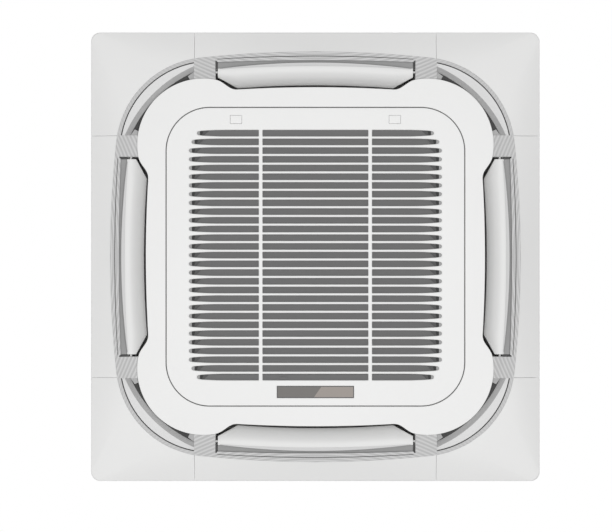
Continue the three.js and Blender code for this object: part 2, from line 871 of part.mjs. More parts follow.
function cabinetInsulation() {
  const top = bodyTop - sheet - seatGap;
  const inset = sheet + seatGap;
  const box = prism(chamferedSquare(inset), [panTop + seatGap, top]);
  const inside = prism(chamferedSquare(inset + foamWall), [-far, top - foamTop]);
  const motorHole = rod(motorBracketRadius + 4, [0, 0, 0], [0, 0, far], 32);
  const portHole = block([0, far], portWindow.y, portWindow.z).intersect(
    block([coilHalf, far], [-far, far], [-far, far]));
  return cut(box, inside, motorHole, portHole);
}

function outletHoles() {
  return onEverySide(ductPath());
}

function drainPan() {
  const opening = roundedSquare(panOpening, panOpeningRadius);
  const box = prism(chamferedSquare(sheet + seatGap), [bodyBottom, panTop], [opening]);
  const trough = prism(
    roundedSquare(coilHalf + 2, coilCornerRadius + 2),
    [panTop - troughDepth, far],
    [roundedSquare(coilHalf - coilDepth - 3, coilCornerRadius - coilDepth - 3)],
  );
  const sump = block([sumpFrom, sumpTo], [sumpFrom, sumpTo], [sumpFloor, far]);
  const screwBlind = screwLength - screwHeadHeight - frameSkin - landHeight;
  return cut(box, trough, sump, outletHoles(), screwHoles(bodyBottom + screwBlind));
}

function panelSeal() {
  const z = [landHeight + seatGap, bodyBottom - seatGap];
  const intake = roundedSquare(intakeHalf, intakeCornerRadius);
  const sheetBody = prism(roundedSquare(landHalf - 2, landCornerRadius), z, [intake]);
  const motorRoom = onEverySide(block(
    [vanePivot[0] - vaneMotorRadius - 1, vanePivot[0] + vaneMotorRadius + 1],
    [ductHalfLength + 2, ductHalfLength + vaneMotorLength + pivotWall + 3],
    [-far, far],
  ));
  return cut(sheetBody, outletHoles(), screwHoles(far), motorRoom);
}

function heatExchanger() {
  const outer = roundedSquare(coilHalf, coilCornerRadius);
  const inner = roundedSquare(coilHalf - coilDepth, coilCornerRadius - coilDepth);
  const ring = prism(outer, [panTop - troughDepth + seatGap, coilTop], [inner]);
  return cut(ring, block([coilEnd, far], [coilEnd, far], [-far, far]));
}

const mouthPlate = 3;
const mouthLow = bodyBottom - seatGap - mouthPlate;
const mouthTop = mouthLow + mouthHeight;

function bellMouth() {
  const plate = prism(roundedSquare(mouthPlateHalf, 30, 4), [mouthLow, bodyBottom - seatGap], [
    circle(0, 0, mouthRadius + 1, fanFacets),
  ]);
  const inward = mouthRadius - throatRadius;
  const inside = [0, 0.33, 0.66, 1].map((share) => {
    const angle = share * quarter;
    return [mouthRadius - inward * Math.sin(angle), mouthLow + mouthHeight * (1 - Math.cos(angle))];
  });
  const outside = inside.map(([radius, z]) => [radius + mouthWall, z]).reverse();
  return joined(plate, turnedRing([...inside, ...outside]));
}

function bladeOutline() {
  const steps = 3;
  const left = [];
  const right = [];
  for (let i = 0; i <= steps; i += 1) {
    const share = i / steps;
    const radius = bladeRootRadius + (fanRadius - 2 - bladeRootRadius) * share;
    const angle = -THREE.MathUtils.degToRad(bladeSweep) * share ** 1.4;
    const half = bladeThickness / 2 * Math.sqrt(1.05 - (2 * share - 0.9) ** 2 * 0.8);
    const mid = new THREE.Vector2(radius * Math.cos(angle), radius * Math.sin(angle));
    const across = new THREE.Vector2(-Math.sin(angle - 0.4), Math.cos(angle - 0.4));
    left.push(mid.clone().addScaledVector(across, half));
    right.push(mid.clone().addScaledVector(across, -half));
  }
  return [...right, ...left.reverse()];
}

function turboFan() {
  const skin = fanSkin;
  const back = turnedRing([
    [shaftRadius + pinGap, fanHubZ],
    [fanHubRadius, fanHubZ],
    [fanHubTopRadius, fanTop - skin],
    [fanRadius, fanTop - skin],
    [fanRadius, fanTop],
    [fanHubTopRadius - skin, fanTop],
    [fanHubRadius - skin, fanHubZ + skin],
    [shaftRadius + pinGap, fanHubZ + skin],
  ]);
  const boss = turnedRing([
    [shaftRadius + pinGap, fanHubZ],
    [shaftRadius * 3, fanHubZ],
    [shaftRadius * 3, fanHubZ + 20],
    [shaftRadius + pinGap, fanHubZ + 20],
  ], 16);
  const rise = 28;
  const curve = [0, 0.25, 0.5, 0.75, 1].map((share) => [
    fanInletRadius + (fanRadius - fanInletRadius) * (1 - Math.cos(share * quarter)),
    fanBottom + rise * Math.sin(share * quarter),
  ]);
  const shroud = turnedRing([...curve, ...curve.map(([r, z]) => [r, z + skin]).reverse()]);
  const bladeLow = mouthTop + 5;
  const room = turnedRing([
    ...curve.map(([r, z]) => [r, z + 1]),
    [fanRadius, fanTop - 1],
    [bladeRootRadius - 12, fanTop - 1],
    [bladeRootRadius - 12, bladeLow],
    [fanInletRadius, bladeLow],
  ]);
  const blade = prism(bladeOutline(), [fanBottom, fanTop - 1]);
  const blades = Array.from({ length: bladeCount }, (_, i) => blade.rotate([0, 0, 360 * i / bladeCount]));
  return joined(back, boss, shroud, joined(...blades).intersect(room));
}

const bracketLow = bodyTop - sheet - seatGap - motorBracketHeight;

function fanMotor() {
  const top = bracketLow - seatGap;
  const shaftEnd = fanHubZ - 12;
  return joined(
    turnedRing([
      [0, motorBottom],
      [motorRadius - 8, motorBottom],
      [motorRadius, motorBottom + 8],
      [motorRadius, top - 14],
      [motorRadius + 10, top - 14],
      [motorRadius + 10, top],
      [0, top],
    ], 24),
    rod(shaftRadius, [0, 0, shaftEnd], [0, 0, motorBottom + 5], 16),
  );
}

function fanNut() {
  const body = rod(shaftRadius * 1.9, [0, 0, fanHubZ - seatGap - 8], [0, 0, fanHubZ - seatGap], 6);
  return cut(body, rod(shaftRadius + pinGap / 2, [0, 0, 0], [0, 0, far], 24));
}

function motorBracket() {
  const z = [bracketLow, bracketLow + motorBracketHeight];
  return prism(circle(0, 0, motorBracketRadius, 32), z, [circle(0, 0, motorRadius - 20, 24)]);
}

const controlTop = bodyBottom - 2 * seatGap - 3;

function controlBox() {
  const box = prism(centred(controlSize, [0, controlY], 0), [controlBottom, controlTop]);
  return cut(box, prism(centred(controlSize, [0, controlY], -controlWall), [-far, controlTop - controlWall]));
}

function controlBoxCover() {
  const high = controlBottom - seatGap;
  return prism(centred(controlSize, [0, controlY], 0), [high - controlWall, high]);
}

function controlBoard() {
  const top = controlTop - controlWall - seatGap;
  const plate = prism(centred(controlSize, [0, controlY], -controlWall - seatGap), [top - 2, top]);
  const parts = [[-100, 30, 12], [-30, 24, 8], [40, 40, 14], [105, 26, 10]].map(([x, width, height]) => (
    block([x - width / 2, x + width / 2], [controlY - 14, controlY + 14], [top - 1 - height, top - 1])));
  return joined(plate, ...parts);
}

function drainPump() {
  const [x, y] = pumpAt;
  return joined(
    rod(pumpRadius, [x, y, pumpBodyZ[0]], [x, y, pumpBodyZ[1]], 24),
    rod(pumpRadius * 0.45, [x, y, sumpFloor + seatGap], [x, y, pumpBodyZ[0] + 1], 12),
  );
}

function floatSwitch() {
  const [x, y] = floatAt;
  return joined(
    rod(3, [x, y, sumpFloor + seatGap], [x, y, panTop + 20], 12),
    rod(9, [x, y, sumpFloor + 4], [x, y, sumpFloor + 16], 12),
    rod(6, [x, y, panTop + 16], [x, y, panTop + 24], 12),
  );
}

function coilPipe(radius, z) {
  const x = coilHalf - coilDepth / 2;
  return pipe([
    [x, coilEnd + seatGap, z],
    [x, coilEnd + 10, z],
    [x + 4, pipeY - 6, z],
    [x + pipeBend / 2, pipeY, z],
    [x + pipeBend, pipeY, z],
    [pipeReach, pipeY, z],
  ], radius);
}

function flareNut(radius, z) {
  const end = pipeReach + seatGap;
  const nut = rod(radius * 1.7, [end - flareNutLength, pipeY, z], [end, pipeY, z], 6);
  return cut(nut, rod(radius + pinGap, [0, pipeY, z], [far, pipeY, z], 12));
}

function drainHose() {
  const [portY, portZ] = drainPortAt;
  const [x, y] = pumpAt;
  return pipe([
    [x, y, pumpBodyZ[1] + seatGap],
    [x, y, pumpBodyZ[1] + 20],
    [x + 4, y - 2, portZ - 20],
    [x + 24, portY + 4, portZ],
    [x + drainHoseBend, portY, portZ],
    [bodySide / 2 - foamWall - sheet - 8, portY, portZ],
  ], drainHoseRadius);
}

function drainPort() {
  const [y, z] = drainPortAt;
  const x = [bodySide / 2 - foamWall - sheet - 8 + seatGap, bodySide / 2 + drainPortStub];
  const tube = rod(drainPortRadius, [x[0], y, z], [x[1], y, z], 16);
  return cut(tube, rod(drainPortRadius - drainWall, [x[0] - 1, y, z], [x[1] + 1, y, z], 24));
}

function pipeCoverPlate() {
  const low = bodySide / 2 + seatGap;
  const plate = block(
    [low, low + portPlateSheet],
    [portWindow.y[0] - portPlateMargin, portWindow.y[1] + portPlateMargin],
    [portWindow.z[0] - portPlateMargin, portWindow.z[1] + portPlateMargin],
  );
  const hole = (radius, y, z) => rod(radius + seatGap, [0, y, z], [far, y, z], 16);
  return cut(
    plate,
    hole(gasPipeRadius, pipeY, gasPipeZ),
    hole(liquidPipeRadius, pipeY, liquidPipeZ),
    hole(drainPortRadius, ...drainPortAt),
  );
}

// One L-shaped bracket, drawn along +X and turned onto its chamfer.
function hangerBracket(side) {
  const face = (bodySide - bodyChamfer) / Math.SQRT2 + seatGap;
  const half = hangerWidth / 2;
  const back = block([face, face + hangerSheet], [-half, half], [hangerLegZ, hangerLegZ + hangerHeight]);
  const [length, width] = hangerSlot;
  const slotRun = (length - width) / 2;
  const slot = [
    ...arc(hangerReach + slotRun, 0, width / 2, -quarter, quarter, 8),
    ...arc(hangerReach - slotRun, 0, width / 2, quarter, 3 * quarter, 8),
  ];
  const leg = prism(
    rectangle([face, hangerReach + hangerTip], [-half, half]),
    [hangerLegZ, hangerLegZ + hangerSheet],
    [slot],
  );
  return joined(back, leg).rotate([0, 0, 45 + 90 * side]);
}

function panelScrew(side) {
  const turn = new THREE.Vector2(screwAt, screwAt).rotateAround(new THREE.Vector2(), side * quarter);
  const low = -frameSkin - seatGap - screwHeadHeight;
  return joined(
    rod(screwHeadRadius, [turn.x, turn.y, low], [turn.x, turn.y, low + screwHeadHeight], 12),
    rod(screwRadius, [turn.x, turn.y, low + 1], [turn.x, turn.y, low + screwLength], 12),
  );
}

// ---- the assembly -------------------------------------------------------------------------

const blank = rimBlank();
add('panel_frame', panelFrame(blank), finish.panelWhite);
add('trim_ring', trimRing(), finish.ribGrey);
add('hub_plate', hubPlate(), finish.panelWhite);
add('panel_seal', panelSeal(), finish.darkFoam);
for (const side of sides) {
  const number = side + 1;
  add(`corner_cover_${number}`, cornerCover(blank), finish.coverWhite, sideGroups[side]);
  add(`vane_${number}`, vane(), finish.panelWhite, sideGroups[side]);
  add(`vane_motor_${number}`, vaneMotor(), finish.motor, sideGroups[side]);
  add(`panel_screw_${number}`, panelScrew(side), finish.steel);
  add(`hanger_bracket_${number}`, hangerBracket(side), finish.sheetSteel);
}

add('intake_grille', intakeGrille(), finish.panelWhite);
add('filter_frame', filterFrame(), finish.filterGrey);
add('filter_mesh', filterMesh(), finish.filterGrey);
add('display_window', displayWindow(), finish.darkGlass);
add('display_board', displayBoard(), finish.board);
buttonPlaces.forEach((x, i) => add(`latch_button_${i + 1}`, latchButton(x), finish.panelWhite));

add('cabinet_shell', cabinetShell(), finish.sheetSteel);
add('cabinet_insulation', cabinetInsulation(), finish.foam);
add('drain_pan', drainPan(), finish.foam);
add('heat_exchanger', heatExchanger(), finish.aluminium);
add('bell_mouth', bellMouth(), finish.fanGrey);
add('turbo_fan', turboFan(), finish.fanGrey);
add('fan_motor', fanMotor(), finish.motor);
add('fan_nut', fanNut(), finish.steel);
add('motor_bracket', motorBracket(), finish.sheetSteel);
add('control_box', controlBox(), finish.sheetSteel);
add('control_box_cover', controlBoxCover(), finish.sheetSteel);
add('control_board', controlBoard(), finish.board);
add('drain_pump', drainPump(), finish.motor);
add('float_switch', floatSwitch(), finish.hose);
add('drain_hose', drainHose(), finish.hose);
add('drain_port', drainPort(), finish.hose);
add('gas_pipe', coilPipe(gasPipeRadius, gasPipeZ), finish.copper);
add('liquid_pipe', coilPipe(liquidPipeRadius, liquidPipeZ), finish.copper);
add('gas_flare_nut', flareNut(gasPipeRadius, gasPipeZ), finish.brass);
add('liquid_flare_nut', flareNut(liquidPipeRadius, liquidPipeZ), finish.brass);
add('pipe_cover_plate', pipeCoverPlate(), finish.sheetSteel);

export default root;
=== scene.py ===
import json
import math

import bmesh
import bpy
from mathutils import Matrix, Vector


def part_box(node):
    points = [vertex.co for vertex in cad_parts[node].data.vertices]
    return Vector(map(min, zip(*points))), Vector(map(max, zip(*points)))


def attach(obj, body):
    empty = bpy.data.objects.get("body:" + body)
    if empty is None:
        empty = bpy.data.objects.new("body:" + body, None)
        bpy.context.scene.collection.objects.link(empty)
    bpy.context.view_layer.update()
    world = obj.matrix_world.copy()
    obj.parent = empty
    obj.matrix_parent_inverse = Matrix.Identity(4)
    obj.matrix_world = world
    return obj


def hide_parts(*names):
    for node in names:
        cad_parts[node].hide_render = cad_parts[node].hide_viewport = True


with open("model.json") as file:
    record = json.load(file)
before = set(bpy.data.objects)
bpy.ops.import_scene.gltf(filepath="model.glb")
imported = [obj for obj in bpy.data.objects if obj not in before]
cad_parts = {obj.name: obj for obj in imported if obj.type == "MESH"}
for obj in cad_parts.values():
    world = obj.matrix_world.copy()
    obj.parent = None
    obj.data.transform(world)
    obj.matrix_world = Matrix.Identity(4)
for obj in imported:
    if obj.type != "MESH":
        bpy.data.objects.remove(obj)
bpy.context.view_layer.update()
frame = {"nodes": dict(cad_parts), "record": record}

MM = 0.001
QUARTER = math.pi / 2
SIDES = range(4)

# Panel, in metres. The ceiling is at z = 0 and the panel hangs below it.
PANEL_HALF = 475 * MM
PANEL_CORNER = 19 * MM
RIM_EDGE_Z = -8 * MM
RIM_EDGE_ROUND = 3 * MM
RIM_Z = -22 * MM
FACE_Z = -34 * MM
SKIRT_TOP_Z = -8.3 * MM
SEAM_AT = 255.5 * MM
SEAM_GAP = 0.7 * MM
FACET_ANGLE = math.radians(25)
SEAT_GAP = 0.3 * MM
RIM_COLUMNS = 60
RIM_CORNER_COLUMNS = 24
RIM_ROUND_STEPS = 4
RIM_FACE_STEPS = 6
COVER_EASE = 0.5 * MM
COVER_END_ANGLE = 1.2
# How far the moulding keeps clear of the side rims drawn over it
FRAME_LIFT = 1 * MM
FRAME_INSET = 0.5 * MM

# Trim ring: its outline, the bridges that run in from it to the hub plate, and their ribs
RING_MID = 433.5 * MM
RING_CORNER_AT = 221.7 * MM
RING_CORNER = 200 * MM
RING_INNER_MID = 418.8 * MM
RING_WIDTH = 7.7 * MM
RING_BACK_Z = -19 * MM
BRIDGE_FROM = 211.3 * MM
BRIDGE_TO = 256.5 * MM
BAND_WIDTH = 3.5 * MM
BAND_END = BRIDGE_FROM - 3 * MM
GROOVE_DEPTH = 1.6 * MM
GROOVE_END = BRIDGE_FROM - 4 * MM
GROOVE_STEPS = 40
RIB_HEIGHT = 0.45 * MM
RIB_CORNER_SHARE = 0.45
# A rib comes each time the square of the distance outward grows by the first of these, in square
# metres, or the square of the distance along the side by the second
RIB_ACROSS = 0.0064
RIB_ALONG = 0.0088
# The rows of points across the ring, as shares of its width, and the two at the groove's bottom
RING_SHARES = [0, 0.12, 0.24, 0.36, 0.48, 0.5, 0.56, 0.58, 0.69, 0.8, 0.9, 1.0]
GROOVE_ROWS = (5, 6)
BRIDGE_ROWS = 52
BRIDGE_COLUMNS = 36
MID_COLUMNS = 200
CORNER_COLUMNS = 260

# Corner recesses, from the trim ring in to the hub plate, and the ledges beside the outlets
RECESS_AT = 147.8 * MM
RECESS_LEDGE = 277 * MM
RECESS_FOOT = 266.9 * MM
RECESS_RIM_Z = RIM_Z + 0.8 * MM
RECESS_LEDGE_Z = -19.5 * MM
RECESS_FOOT_Z = -10 * MM
RECESS_FLOOR_Z = -8.6 * MM
RECESS_STEPS = 64
RECESS_BAND_STEPS = 5
RECESS_FLOOR_STEPS = 3
RECESS_GROOVE = 2.4 * MM
RECESS_GROOVE_SHARE = 0.7
RECESS_TAB = 13 * MM
RECESS_TAB_AT_HUB = 0.6 * RECESS_TAB
RECESS_TAB_PEAK = 0.55
RECESS_TAB_TUCK = 3 * MM
RECESS_TAB_Z = [-15 * MM, -12 * MM]
DUCT_OUTER = 396 * MM
LEDGE_END = BRIDGE_FROM - 5 * MM
LEDGE_STEPS = 40

# Hub plate. The recess floors run in under it by a share of the way to the centre.
HUB_MID = 357.4 * MM
HUB_SIDE_END = Vector((352.5 * MM, 164 * MM))
LOBE_AT = 236.4 * MM
LOBE = 139.3 * MM
LOBE_START = math.radians(-10.5)
HUB_BLEND = 20 * MM
HUB_WALL = 3 * MM
HUB_FACE = 3.5 * MM
HUB_EDGE = 1.0 * MM
HUB_STEPS = 16
HUB_STATIONS = 960
HUB_TUCK = 0.03

# Vanes
VANE_HALF_LENGTH = 205.8 * MM
VANE_OUTER_MID = 403 * MM
VANE_OUTER_END = 395.4 * MM
VANE_INNER_MID = 363 * MM
VANE_BOW_END = Vector((356.6 * MM, 164.5 * MM))
VANE_INNER_END = 378.4 * MM
VANE_LIP = 7 * MM
VANE_Z = -28 * MM
VANE_THICKNESS = 3.5 * MM
VANE_EDGE = 0.9 * MM
VANE_STATIONS = 60
VANE_TIP = 1.5 * MM
VANE_BEND = 43.6 * MM
VANE_BEND_WIDTH = 36 * MM
VANE_PIVOT = Vector((390 * MM, -13.6 * MM))
VANE_ARM = 5 * MM
VANE_ARM_HALF_WIDTH = 7 * MM
VANE_PIN = 2.5 * MM
VANE_PIN_ENDS = [-219 * MM, 224 * MM]
# How far up the vane the painted shade takes to reach its darkest
VANE_PAINTED_SHADE_RISE = 18 * MM

# Intake grille
GRILLE_HALF = 313.7 * MM
GRILLE_CORNER = 91 * MM
GRILLE_EDGE = 0.8 * MM
GRILLE_SEAM = 2.0 * MM
SEAM_FLOOR_Z = [-29.4 * MM, -28.9 * MM]
GRILLE_BACK_Z = -30 * MM
SLOT_ROWS = 29
SLOT_PITCH = 18.36 * MM
SLOT_CENTRE_Y = -3.4 * MM
SLOT_HALF_HEIGHT = 6.75 * MM
SLOT_HALF_LENGTHS = [249.6 * MM, 260.8 * MM, 266.5 * MM]
SLOT_TAPER = 60 * MM
SLOT_TIP = 4 * MM
SLOT_EASE = 0.8 * MM
SLAT_ROUND = 1.5 * MM
ROUND_STEPS = 4
# Plates of painted shade behind both ends of each slot: their finish, where they start and end outward from
# its tip, how much further in their upper edge reaches, and how far they stand out from the grille's back
SLOT_PLATES = {
    "slot_ends": ("slot_end_painted_shade", 1 * MM, -6 * MM, 0, 1.6 * MM),
    "slot_shades": ("slot_painted_shadow", -5 * MM, -10 * MM, 4 * MM, 1.0 * MM),
    "slot_fades": ("fading_painted_shade", -8 * MM, -12 * MM, 16 * MM, 0.5 * MM),
}
BAR_AT = 115.4 * MM
BAR_HALF = 4.1 * MM
HINGE_Y = 315 * MM
HOOK_X = 190 * MM
HOOK_WIDTH = 14 * MM
HOOK_RADIUS = 8 * MM
HOOK_THICKNESS = 2.6 * MM
HOOK_ANGLES = [math.radians(65), math.radians(165)]
NOTCH_HALF = HOOK_WIDTH / 2 + 1 * MM
NOTCH_FLOOR_Z = -29 * MM
SMALL_EASE = 0.4 * MM
BUTTON_X = 167.4 * MM
BUTTON_Y = -289.2 * MM
BUTTON_SIZE = Vector((24, 17)) * MM
BUTTON_CAP_HEIGHT = 1.3 * MM
BUTTON_FLANGE_HALF = (14.3 * MM, 10.8 * MM)
BUTTON_FLANGE_HEIGHT = 2.3 * MM
BUTTON_POST = 3 * MM
DISPLAY_Y = 285 * MM
DISPLAY_SIZE = Vector((162, 25)) * MM
DISPLAY_BORDER = 1.6 * MM
# The slant and offset of the line past which the display window carries a painted reflection
PAINTED_REFLECTION_SLANT = 0.7
PAINTED_REFLECTION_SPLIT = 4.7 * MM
PLAY = 0.3 * MM

# Unit body. The first two are the least area of a wall and of the top, in square metres.
FIELD_AREA = 0.05
TOP_AREA = 0.3
FIELD_MARGIN = 26 * MM
PRESS_DEPTH = 0.7 * MM
PRESS_SLOPE = 0.9 * MM
BODY_HALF = 420 * MM
BODY_Z = [12 * MM, 258 * MM]
BODY_EASE = 1.2 * MM
BEAD_HEIGHTS = [70 * MM, 135 * MM, 200 * MM]
BEAD_RADIUS = 4 * MM
BEAD_SUNK = 1.5 * MM
BEAD_REACH = 290 * MM
BEAD_REACH_AT_PIPES = 190 * MM
SCREW_HEAD = 4.5 * MM
SCREW_SUNK = 0.5 * MM
SCREW_HEIGHT = 1.8 * MM
SCREW_SLOT = (3 * MM, 0.5 * MM)
SCREW_INSET = 13 * MM
LOW_SCREWS = (-280, -140, 0, 140, 280)
HIGH_SCREWS = (-200, 0, 200)
HIGH_SCREWS_AT_PIPES = (-200, 0, 150)

# Camera and floor
PIXELS_PER_METRE = 473.5
PHOTO_WIDTH, PHOTO_HEIGHT = 612, 532
PANEL_CENTRE_PX = (315.4, 256.75)
CAMERA_DISTANCE = 5.0
SENSOR = 36.0
FLOOR_Z = -7.0
FLOOR_HALF = 12.0

# Textures
FINE_BUMP = 0.01 * MM
THREAD_SPACING = 1.6 * MM
FIN_SPACING = 2.4 * MM

# ---- camera, light and stage ------------------------------------------------------------------


def new_object(name, data):
    obj = bpy.data.objects.new(name, data)
    bpy.context.scene.collection.objects.link(obj)
    return obj


def make_camera():
    data = bpy.data.cameras.new("camera")
    data.sensor_width = SENSOR
    data.lens = SENSOR * CAMERA_DISTANCE * PIXELS_PER_METRE / PHOTO_WIDTH
    data.clip_end = 100
    camera = new_object("camera", data)
    across = (PHOTO_WIDTH / 2 - PANEL_CENTRE_PX[0]) / PIXELS_PER_METRE
    down = (PHOTO_HEIGHT / 2 - PANEL_CENTRE_PX[1]) / PIXELS_PER_METRE
    camera.location = (across, down, RIM_Z - CAMERA_DISTANCE)
    camera.rotation_euler = (math.pi, 0, 0)
    bpy.context.scene.camera = camera


def make_lamp(name, place, size, power):
    """A square lamp that shines at the middle of the panel."""
    data = bpy.data.lights.new(name, "AREA")
    data.shape = "SQUARE"
    data.size = size
    data.energy = power
    lamp = new_object(name, data)
    lamp.location = place
    lamp.rotation_euler = (-Vector(place)).to_track_quat("-Z", "Y").to_euler()
    lamp.visible_camera = False


def background_rays(tree):
    """1 where the camera, gloss and glass look at the background, and 0 where it gives light."""
    path = tree.nodes.new("ShaderNodeLightPath")
    seen = math_node(tree, "MAXIMUM", path.outputs["Is Camera Ray"], path.outputs["Is Glossy Ray"])
    return math_node(tree, "MAXIMUM", seen, path.outputs["Is Transmission Ray"])


def math_node(tree, operation, *values):
    node = tree.nodes.new("ShaderNodeMath")
    node.operation = operation
    for socket, value in zip(node.inputs, values):
        if isinstance(value, (int, float)):
            socket.default_value = value
        else:
            tree.links.new(value, socket)
    return node.outputs[0]


def make_world(ambient):
    world = bpy.data.worlds.new("world")
    bpy.context.scene.world = world
    world.use_nodes = True
    tree = world.node_tree
    background = tree.nodes["Background"]
    background.inputs["Color"].default_value = (1, 1, 1, 1)
    level = math_node(tree, "MULTIPLY_ADD", background_rays(tree), 1.0 - ambient, ambient)
    tree.links.new(level, background.inputs["Strength"])


def make_floor():
    bm = bmesh.new()
    bmesh.ops.create_grid(bm, x_segments=1, y_segments=1, size=FLOOR_HALF)
    bmesh.ops.translate(bm, verts=bm.verts, vec=(0, 0, FLOOR_Z))
    mesh = bpy.data.meshes.new("floor")
    bm.to_mesh(mesh)
    bm.free()
    floor = new_object("floor", mesh)
    material = bpy.data.materials.new("floor")
    material.use_nodes = True
    shader = material.node_tree.nodes["Principled BSDF"]
    shader.inputs["Base Color"].default_value = (0.8, 0.8, 0.8, 1)
    shader.inputs["Roughness"].default_value = 0.9
    mesh.materials.append(material)


bpy.context.scene.view_settings.view_transform = "Standard"
make_camera()
make_world(ambient=0.2)
make_floor()
make_lamp("front_lamp", place=(0.2, 0.2, -6.6), size=2.6, power=284)
make_lamp("key_lamp", place=(-0.9, -3.6, -4.6), size=0.8, power=13)
make_lamp("side_lamp", place=(-3.6, 3.6, -2.4), size=1.5, power=34)
make_lamp("top_lamp", place=(2.6, -2.2, 2.8), size=1.6, power=60)

# ---- materials --------------------------------------------------------------------------------


def linear(level):
    """The linear value of an 8-bit level."""
    share = level / 255
    return share / 12.92 if share < 0.04 else ((share + 0.055) / 1.055) ** 2.4


def grey(level):
    return (linear(level),) * 3


def new_group(name, inputs, outputs):
    group = bpy.data.node_groups.new(name, "ShaderNodeTree")
    for label, value in inputs.items():
        kind = "NodeSocketColor" if isinstance(value, tuple) else "NodeSocketFloat"
        group.interface.new_socket(label, in_out="INPUT", socket_type=kind).default_value = value
    for label in outputs:
        kind = "NodeSocketColor" if label == "Color" else "NodeSocketFloat"
        group.interface.new_socket(label, in_out="OUTPUT", socket_type=kind)
    return group, group.nodes.new("NodeGroupInput").outputs, group.nodes.new("NodeGroupOutput").inputs


def object_place(tree):
    return tree.nodes.new("ShaderNodeTexCoord").outputs["Object"]


def noise(tree, scale, detail=2.0, vector=None):
    node = tree.nodes.new("ShaderNodeTexNoise")
    tree.links.new(vector or object_place(tree), node.inputs["Vector"])
    if isinstance(scale, (int, float)):
        node.inputs["Scale"].default_value = scale
    else:
        tree.links.new(scale, node.inputs["Scale"])
    node.inputs["Detail"].default_value = detail
    return node.outputs["Fac"]


def blended(tree, factor, first, second, mode="MIX"):
    node = tree.nodes.new("ShaderNodeMix")
    node.data_type = "RGBA"
    node.blend_type = mode
    sockets = [s for s in node.inputs if s.name in ("A", "B") and s.type == "RGBA"]
    for socket, value in zip([node.inputs["Factor"], *sockets], (factor, first, second)):
        if isinstance(value, tuple):
            socket.default_value = (*value, 1)
        elif isinstance(value, (int, float)):
            socket.default_value = value
        else:
            tree.links.new(value, socket)
    return next(s for s in node.outputs if s.type == "RGBA")


def spread(tree, value, amount, middle):
    """Noise round 0.5, turned into a value that varies by an amount round a middle."""
    return math_node(tree, "MULTIPLY_ADD", math_node(tree, "SUBTRACT", value, 0.5), amount, middle)


def moulded_surface():
    """Moulded plastic: a fine spark texture and a slow change of shade across the piece."""
    group, given, out = new_group(
        "moulded_surface",
        {"Color": (1, 1, 1, 1), "Grain Scale": 900.0, "Shade": 0.03, "Roughness": 0.45},
        ["Color", "Roughness", "Height"],
    )
    grain = noise(group, given["Grain Scale"])
    level = spread(group, noise(group, 5.0), given["Shade"], 1.0)
    group.links.new(blended(group, 1.0, given["Color"], level, "MULTIPLY"), out["Color"])
    group.links.new(spread(group, grain, 0.14, given["Roughness"]), out["Roughness"])
    group.links.new(grain, out["Height"])
    return group


def worked_metal():
    """Metal: cloudy patches, fine drawn streaks along one axis, and duller spots."""
    group, given, out = new_group(
        "worked_metal",
        {"Color": (1, 1, 1, 1), "Patch Scale": 60.0, "Patch": 0.12, "Streak Scale": 900.0, "Roughness": 0.35},
        ["Color", "Roughness", "Height"],
    )
    patches = group.nodes.new("ShaderNodeTexVoronoi")
    group.links.new(object_place(group), patches.inputs["Vector"])
    group.links.new(given["Patch Scale"], patches.inputs["Scale"])
    shade = group.nodes.new("ShaderNodeSeparateColor")
    group.links.new(patches.outputs["Color"], shade.inputs["Color"])
    level = spread(group, shade.outputs[0], given["Patch"], 1.0)
    group.links.new(blended(group, 1.0, given["Color"], level, "MULTIPLY"), out["Color"])
    stretch = group.nodes.new("ShaderNodeMapping")
    stretch.inputs["Scale"].default_value = (1.0, 1.0, 0.04)
    group.links.new(object_place(group), stretch.inputs["Vector"])
    streaks = noise(group, given["Streak Scale"], 3.0, stretch.outputs["Vector"])
    rough = spread(group, noise(group, 25.0, 4.0), 0.25, given["Roughness"])
    group.links.new(spread(group, streaks, 0.1, rough), out["Roughness"])
    group.links.new(streaks, out["Height"])
    return group


SURFACES = {"moulded": moulded_surface(), "metal": worked_metal()}


def material_of(name, surface, color, depth, values, **shader_values):
    """A material whose colour, roughness and bump come from one of the surfaces."""
    material = bpy.data.materials.new(name)
    material.use_nodes = True
    tree = material.node_tree
    shader = tree.nodes["Principled BSDF"]
    effect = tree.nodes.new("ShaderNodeGroup")
    effect.node_tree = SURFACES[surface]
    effect.inputs["Color"].default_value = (*color, 1)
    for label, value in values.items():
        effect.inputs[label].default_value = value
    tree.links.new(effect.outputs["Color"], shader.inputs["Base Color"])
    tree.links.new(effect.outputs["Roughness"], shader.inputs["Roughness"])
    add_bump(tree, effect.outputs["Height"], depth)
    for label, value in shader_values.items():
        shader.inputs[label.replace("_", " ")].default_value = value
    return material


def painted(material, color):
    """The material with its colour taken from a node."""
    tree = material.node_tree
    tree.links.new(color, tree.nodes["Principled BSDF"].inputs["Base Color"])
    return material


def add_bump(tree, height, depth):
    bump = tree.nodes.new("ShaderNodeBump")
    bump.inputs["Strength"].default_value = 0.6
    bump.inputs["Distance"].default_value = depth
    tree.links.new(height, bump.inputs["Height"])
    tree.links.new(bump.outputs["Normal"], tree.nodes["Principled BSDF"].inputs["Normal"])


def plastic(name, color, roughness=0.45, grain=900.0, depth=FINE_BUMP, **shader_values):
    values = {"Grain Scale": grain, "Roughness": roughness}
    return material_of(name, "moulded", color, depth, values, **shader_values)


def metal(name, color, roughness=0.35, patch=0.12, patch_scale=60.0, metallic=0.8):
    values = {"Patch Scale": patch_scale, "Patch": patch, "Roughness": roughness}
    return material_of(name, "metal", color, FINE_BUMP, values, Metallic=metallic)


def wave(tree, axis, spacing):
    """Even stripes across one axis, from 0 to 1."""
    node = tree.nodes.new("ShaderNodeTexWave")
    node.bands_direction = axis
    node.inputs["Scale"].default_value = math.pi / 10 / spacing
    tree.links.new(object_place(tree), node.inputs["Vector"])
    return node.outputs["Fac"]


def object_axes(tree):
    """The place on the piece as separate X, Y and Z."""
    place = tree.nodes.new("ShaderNodeSeparateXYZ")
    tree.links.new(object_place(tree), place.inputs["Vector"])
    return place.outputs


